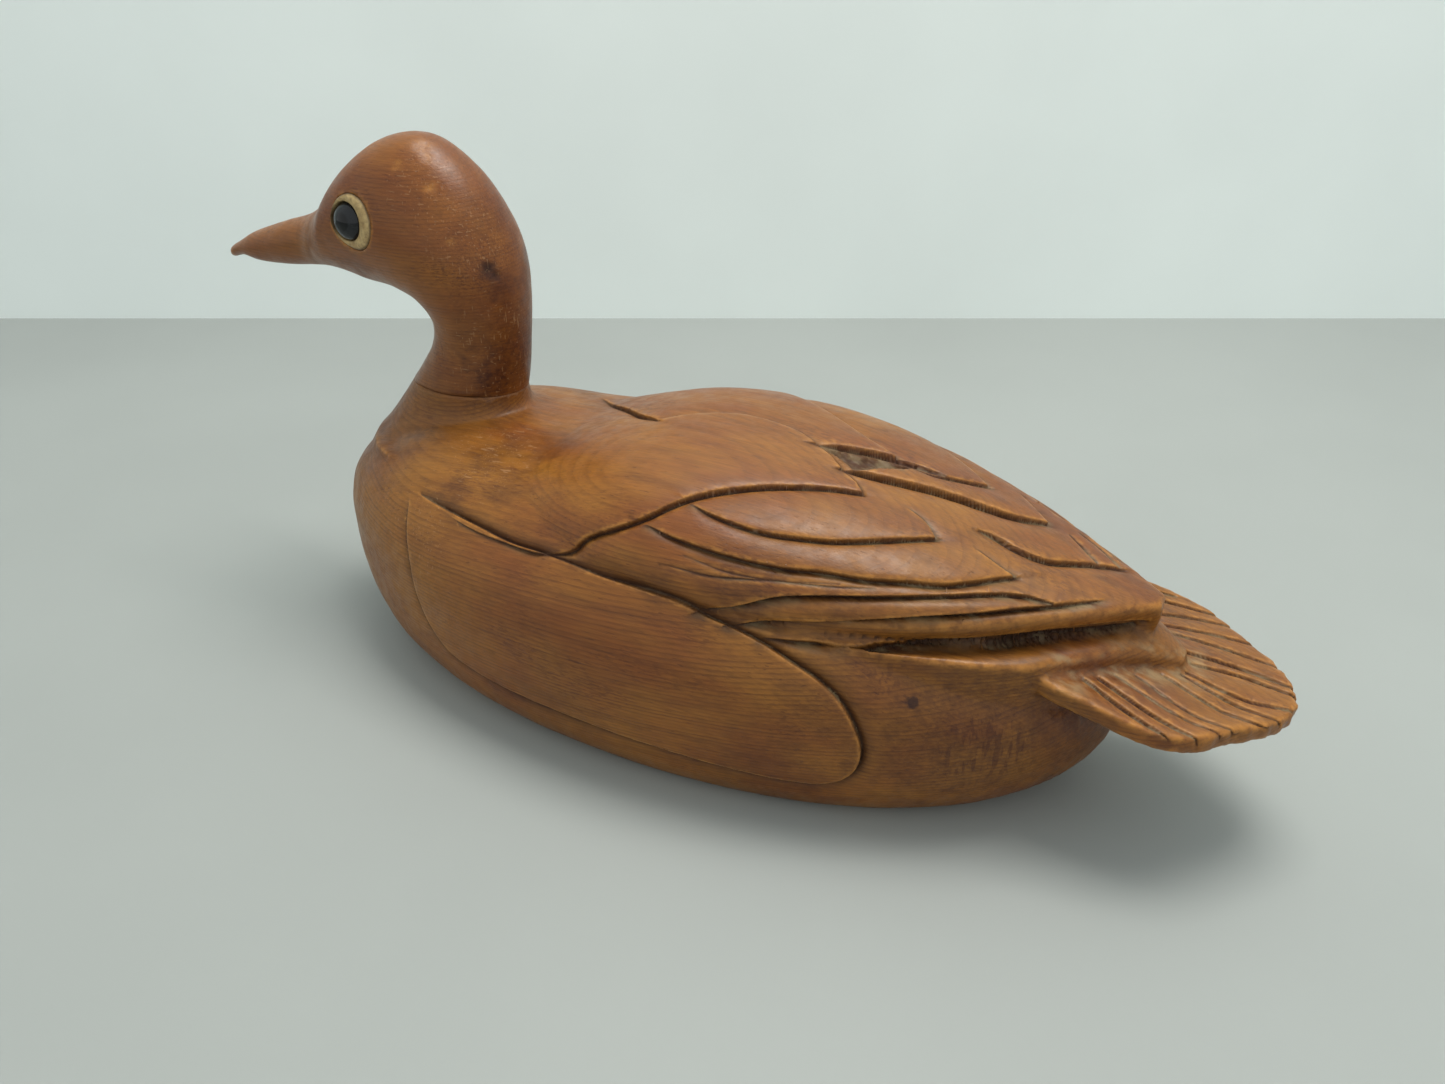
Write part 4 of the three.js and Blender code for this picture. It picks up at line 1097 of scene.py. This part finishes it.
# Places darkened towards dark brown, among them the knot, (x, y, z, radius, strength).
BODY_STAINS = [
    (62, 26, 70.6, 7, 0.5), (65, 38.8, 63.9, 6, 0.45), (48, 36, 67.5, 7, 0.35),
    (44.6, 14.8, 74.3, 9, 0.35), (57.9, 20.8, 72.4, 6, 0.4), (74, 8, 80, 9, 0.5), (82, 14, 78, 12, 0.3),
    (-72.5, 43.2, 41.6, 1.6, 1.0), (-30, 47, 67, 14, 0.4), (-55, 40, 66, 10, 0.35),
    (-83, 41, 26, 14, 0.45), (-97, 32, 31, 13, 0.5), (-80, 38, 46, 9, 0.35), (20, 60, 14, 20, 0.25),
    (-40, 55, 10, 20, 0.35), (-115, 0, 30, 16, 0.5), (-88, 36, 38, 34, 0.5), (-108, 10, 32, 28, 0.55),
    (-60, 48, 42, 18, 0.3), (86, 6, 79, 24, 0.3), (100, 14, 66, 26, 0.16), (-128, 0, 46, 34, 0.2),
    (-66, 26, 68, 26, 0.14), (-33, 49, 62, 10, 0.5), (-8, 52.5, 61, 7, 0.4)]
HEAD_STAINS = [
    (70.9, 9.5, 86.5, 9, 0.75), (68, 4, 92, 13, 0.6), (68.4, 9.1, 118.5, 4.0, 0.75),
    (66.7, 6.5, 113, 6, 0.5), (74, 12, 101, 9, 0.3), (72, 2, 132, 10, 0.3), (83.2, 13.7, 84, 10, 0.2),
    (66, -4, 100, 12, 0.4), (112, 12, 116, 6, 0.2)]


def stain(piece, places, everywhere):
    co = coordinates(piece.data)
    amount = np.full(len(co), everywhere, float)
    ragged = (1 + 0.45 * lattice_noise(co, 3.0, SEED + 11)
              + 0.3 * lattice_noise(co / [3, 1, 1], 1.2, SEED + 12))
    for x, y, z, radius, strength in places:
        for side in (1, -1):
            far = np.linalg.norm(co - [x, side * y, z], axis=1) * ragged
            amount = np.maximum(amount, strength * (1 - smoothstep(far, radius * 0.3, radius * 1.3)))
    attribute(piece.data, "stain", np.clip(amount, 0, 1))


def dust(piece):
    """Dust lies in the grooves of the rear half, and most of all where the tail meets the rump."""
    co = coordinates(piece.data)
    groove_shade = read_attribute(piece.data, "groove_shade")
    rear = 0.3 + 0.55 * smoothstep(-co[:, 0], 10, 60) + 0.15 * smoothstep(-co[:, 0], 90, 110)
    # Little dust gets in under the wings' slab.
    under_wings = (np.abs(co[:, 2] - 54.5) < 2.5) & (co[:, 0] < -40) & (co[:, 0] > -118)
    rear = np.where(under_wings, 0.35, rear)
    facing = smoothstep(normals(piece.data)[:, 2], 0.2, 0.7)
    step = np.zeros(len(co))
    for x, width, edge, *_ in RUMP[:4]:
        for side in (1, -1):
            far = np.linalg.norm(co - [x - 1, side * width, edge - 1], axis=1)
            step = np.maximum(step, 1 - smoothstep(far, 2, 9))
    pit = 0.4 * smoothstep(inside_distance(co[:, :2], PIT), 0.5, 2.0) * (co[:, 2] > 60)
    lying = np.maximum(np.maximum(groove_shade * rear, 0.8 * step), pit)
    attribute(piece.data, "dust", np.clip(lying * facing, 0, 1))


body = build_body()
head, head_tree = build_head()
stain(body, BODY_STAINS, 0.0)
stain(head, HEAD_STAINS, 0.0)
dust(body)
attribute(head.data, "dust", np.zeros(len(head.data.vertices)))
print("triangles: body", len(body.data.polygons), "head", len(head.data.polygons))
body_wood = wood("body_wood_paint", srgb(146, 95, 34), srgb(124, 70, 27), srgb(68, 34, 14), figure=0.42,
                 marks=BODY_MARKS)
head_wood = wood("head_wood_paint", srgb(136, 84, 32), srgb(116, 63, 26), srgb(72, 36, 17),
                 ring=1.0, figure=0.3, tilt=(0.02, 0.1), gloss=0.37, marks=HEAD_MARKS)
plain_wood = wood("plain_wood_paint", srgb(196, 156, 104), srgb(176, 132, 84), srgb(140, 96, 56),
                  stained=False, gloss=0.6)
board_wood = wood("board_wood_paint", srgb(150, 100, 54), srgb(120, 74, 40), srgb(80, 46, 24),
                  stained=False, gloss=0.55)


def hand_over(piece, material, node):
    """Paints a piece, fixes it to the decoy and puts it in the place of a CAD node."""
    dress(piece, material)
    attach(piece, "decoy")
    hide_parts(node)


hand_over(body, body_wood, "body")
hand_over(head, head_wood, "head")

putty_material, glass_material = putty_paint(), glass_paint()
for side_name, side in (("left", 1), ("right", -1)):
    putty = build_putty(side_name + "_eye_putty", side, head_tree)
    glass = build_glass(side_name + "_glass_eye", side)
    to_eye = np.array(inside_eye_frame(side).inverted())
    flat = placed(to_eye, coordinates(putty.data))
    # Painted shadow line round the outer edge of the putty.
    rim = smoothstep(np.linalg.norm(flat[:, :2], axis=1), EYE["bed"] - 0.7, EYE["bed"])
    attribute(putty.data, "rim", 0.8 * rim)
    flat = placed(to_eye, coordinates(glass.data)) - [EYE["forward"], 0, 0]
    attribute(glass.data, "radius", np.linalg.norm(flat[:, :2], axis=1))
    hand_over(putty, putty_material, side_name + "_eye_bed")
    hand_over(glass, glass_material, side_name + "_eye_glass")

brass = metal("aged_brass", srgb(176, 138, 66), srgb(92, 66, 34), 0.38)
lead = metal("cast_lead", srgb(112, 114, 118), srgb(74, 75, 78), 0.62)
steel = metal("eye_wire_steel", srgb(150, 152, 156), srgb(92, 86, 80), 0.4)
rubber = rubber_paint()
paints = dict(anchor=brass, board_screw=brass, ballast_screw=brass, ballast_weight=lead, board_gasket=rubber,
              neck_dowel=plain_wood, bottom_board=board_wood, left_eye_wire=steel, right_eye_wire=steel)
for name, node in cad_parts.items():
    for start, material in paints.items():
        if name.startswith(start):
            dress(node, material)


# ---------- light, floor and camera ----------
def backdrop_paint(name, colour, roughness):
    p = Paint(name)
    tone = p.mapped(p.noise(160, 3.0), 0.3, 0.7)
    darker = tuple(0.95 * c for c in colour[:3]) + (1,)
    p.set(Base_Color=p.mix(tone, colour, darker), Roughness=roughness)
    return p.material


def see_through_from_behind(material):
    """Lets a camera that stands behind the wall or under the floor see the duck."""
    nodes, links = material.node_tree.nodes, material.node_tree.links
    mix = nodes.new("ShaderNodeMixShader")
    links.new(nodes.new("ShaderNodeNewGeometry").outputs["Backfacing"], mix.inputs[0])
    links.new(nodes["Principled BSDF"].outputs[0], mix.inputs[1])
    links.new(nodes.new("ShaderNodeBsdfTransparent").outputs[0], mix.inputs[2])
    links.new(mix.outputs[0], nodes["Material Output"].inputs["Surface"])


# The camera stands at the duck's left, a little behind it, and looks down. TURN is from straight across.
CAMERA = Vector((-128.93, 253.05, 210.0))
TURN = math.radians(27.0)
TILT = math.radians(30.205)
AWAY = Vector((math.sin(TURN), -math.cos(TURN), 0))
RIGHT = Vector((-math.cos(TURN), -math.sin(TURN), 0))
UP = AWAY * math.sin(TILT) + Vector((0, 0, math.cos(TILT)))
LENS = 27.9

WALL_AWAY = 613.0
FLOOR = 2500.0
BELOW_THE_BASE = 0.1  # keeps the floor clear of the flat base
WALL_HEIGHT = 1800.0
square = [(-FLOOR, -FLOOR), (FLOOR, -FLOOR), (FLOOR, FLOOR), (-FLOOR, FLOOR)]
floor = new_object("floor", [(x, y, -BELOW_THE_BASE) for x, y in square], [(0, 1, 2, 3)])
foot = Vector((CAMERA.x, CAMERA.y, 0)) + AWAY * WALL_AWAY
left, right = foot - RIGHT * FLOOR, foot + RIGHT * FLOOR
up = Vector((0, 0, WALL_HEIGHT))
wall = new_object("wall", [tuple(c) for c in (left, right, right + up, left + up)], [(0, 1, 2, 3)])
for piece, colour, roughness in ((floor, srgb(158, 163, 160), 0.6), (wall, srgb(240, 248, 245), 0.8)):
    dress(piece, backdrop_paint(piece.name + "_paint", colour, roughness))
    see_through_from_behind(piece.data.materials[0])

camera_data = bpy.data.cameras.new("camera")
camera_data.lens = LENS
camera_data.sensor_width = 36
camera = bpy.data.objects.new("camera", camera_data)
facing = Matrix((RIGHT, UP, RIGHT.cross(UP))).transposed().to_4x4()
camera.matrix_world = Matrix.Translation(CAMERA * MM) @ facing
bpy.context.scene.collection.objects.link(camera)
bpy.context.scene.camera = camera

world = bpy.data.worlds.new("world")
bpy.context.scene.world = world
world.use_nodes = True
sky = world.node_tree.nodes["Background"]
sky.inputs["Color"].default_value = (0.9, 0.94, 0.94, 1)
sky.inputs["Strength"].default_value = 0.85


def area_light(name, place, target, size, power, colour=(1, 1, 1)):
    data = bpy.data.lights.new(name, "AREA")
    data.shape = "RECTANGLE"
    data.size, data.size_y = size
    data.energy = power
    data.color = colour
    light = bpy.data.objects.new(name, data)
    light.location = place
    light.rotation_euler = (Vector(target) - Vector(place)).to_track_quat("-Z", "Y").to_euler()
    bpy.context.scene.collection.objects.link(light)


area_light("ceiling", (-0.05, -0.2, 1.0), (0, 0, 0.05), (0.55, 0.45), 8.6, (1, 0.97, 0.92))
bpy.context.scene.view_settings.view_transform = "Standard"
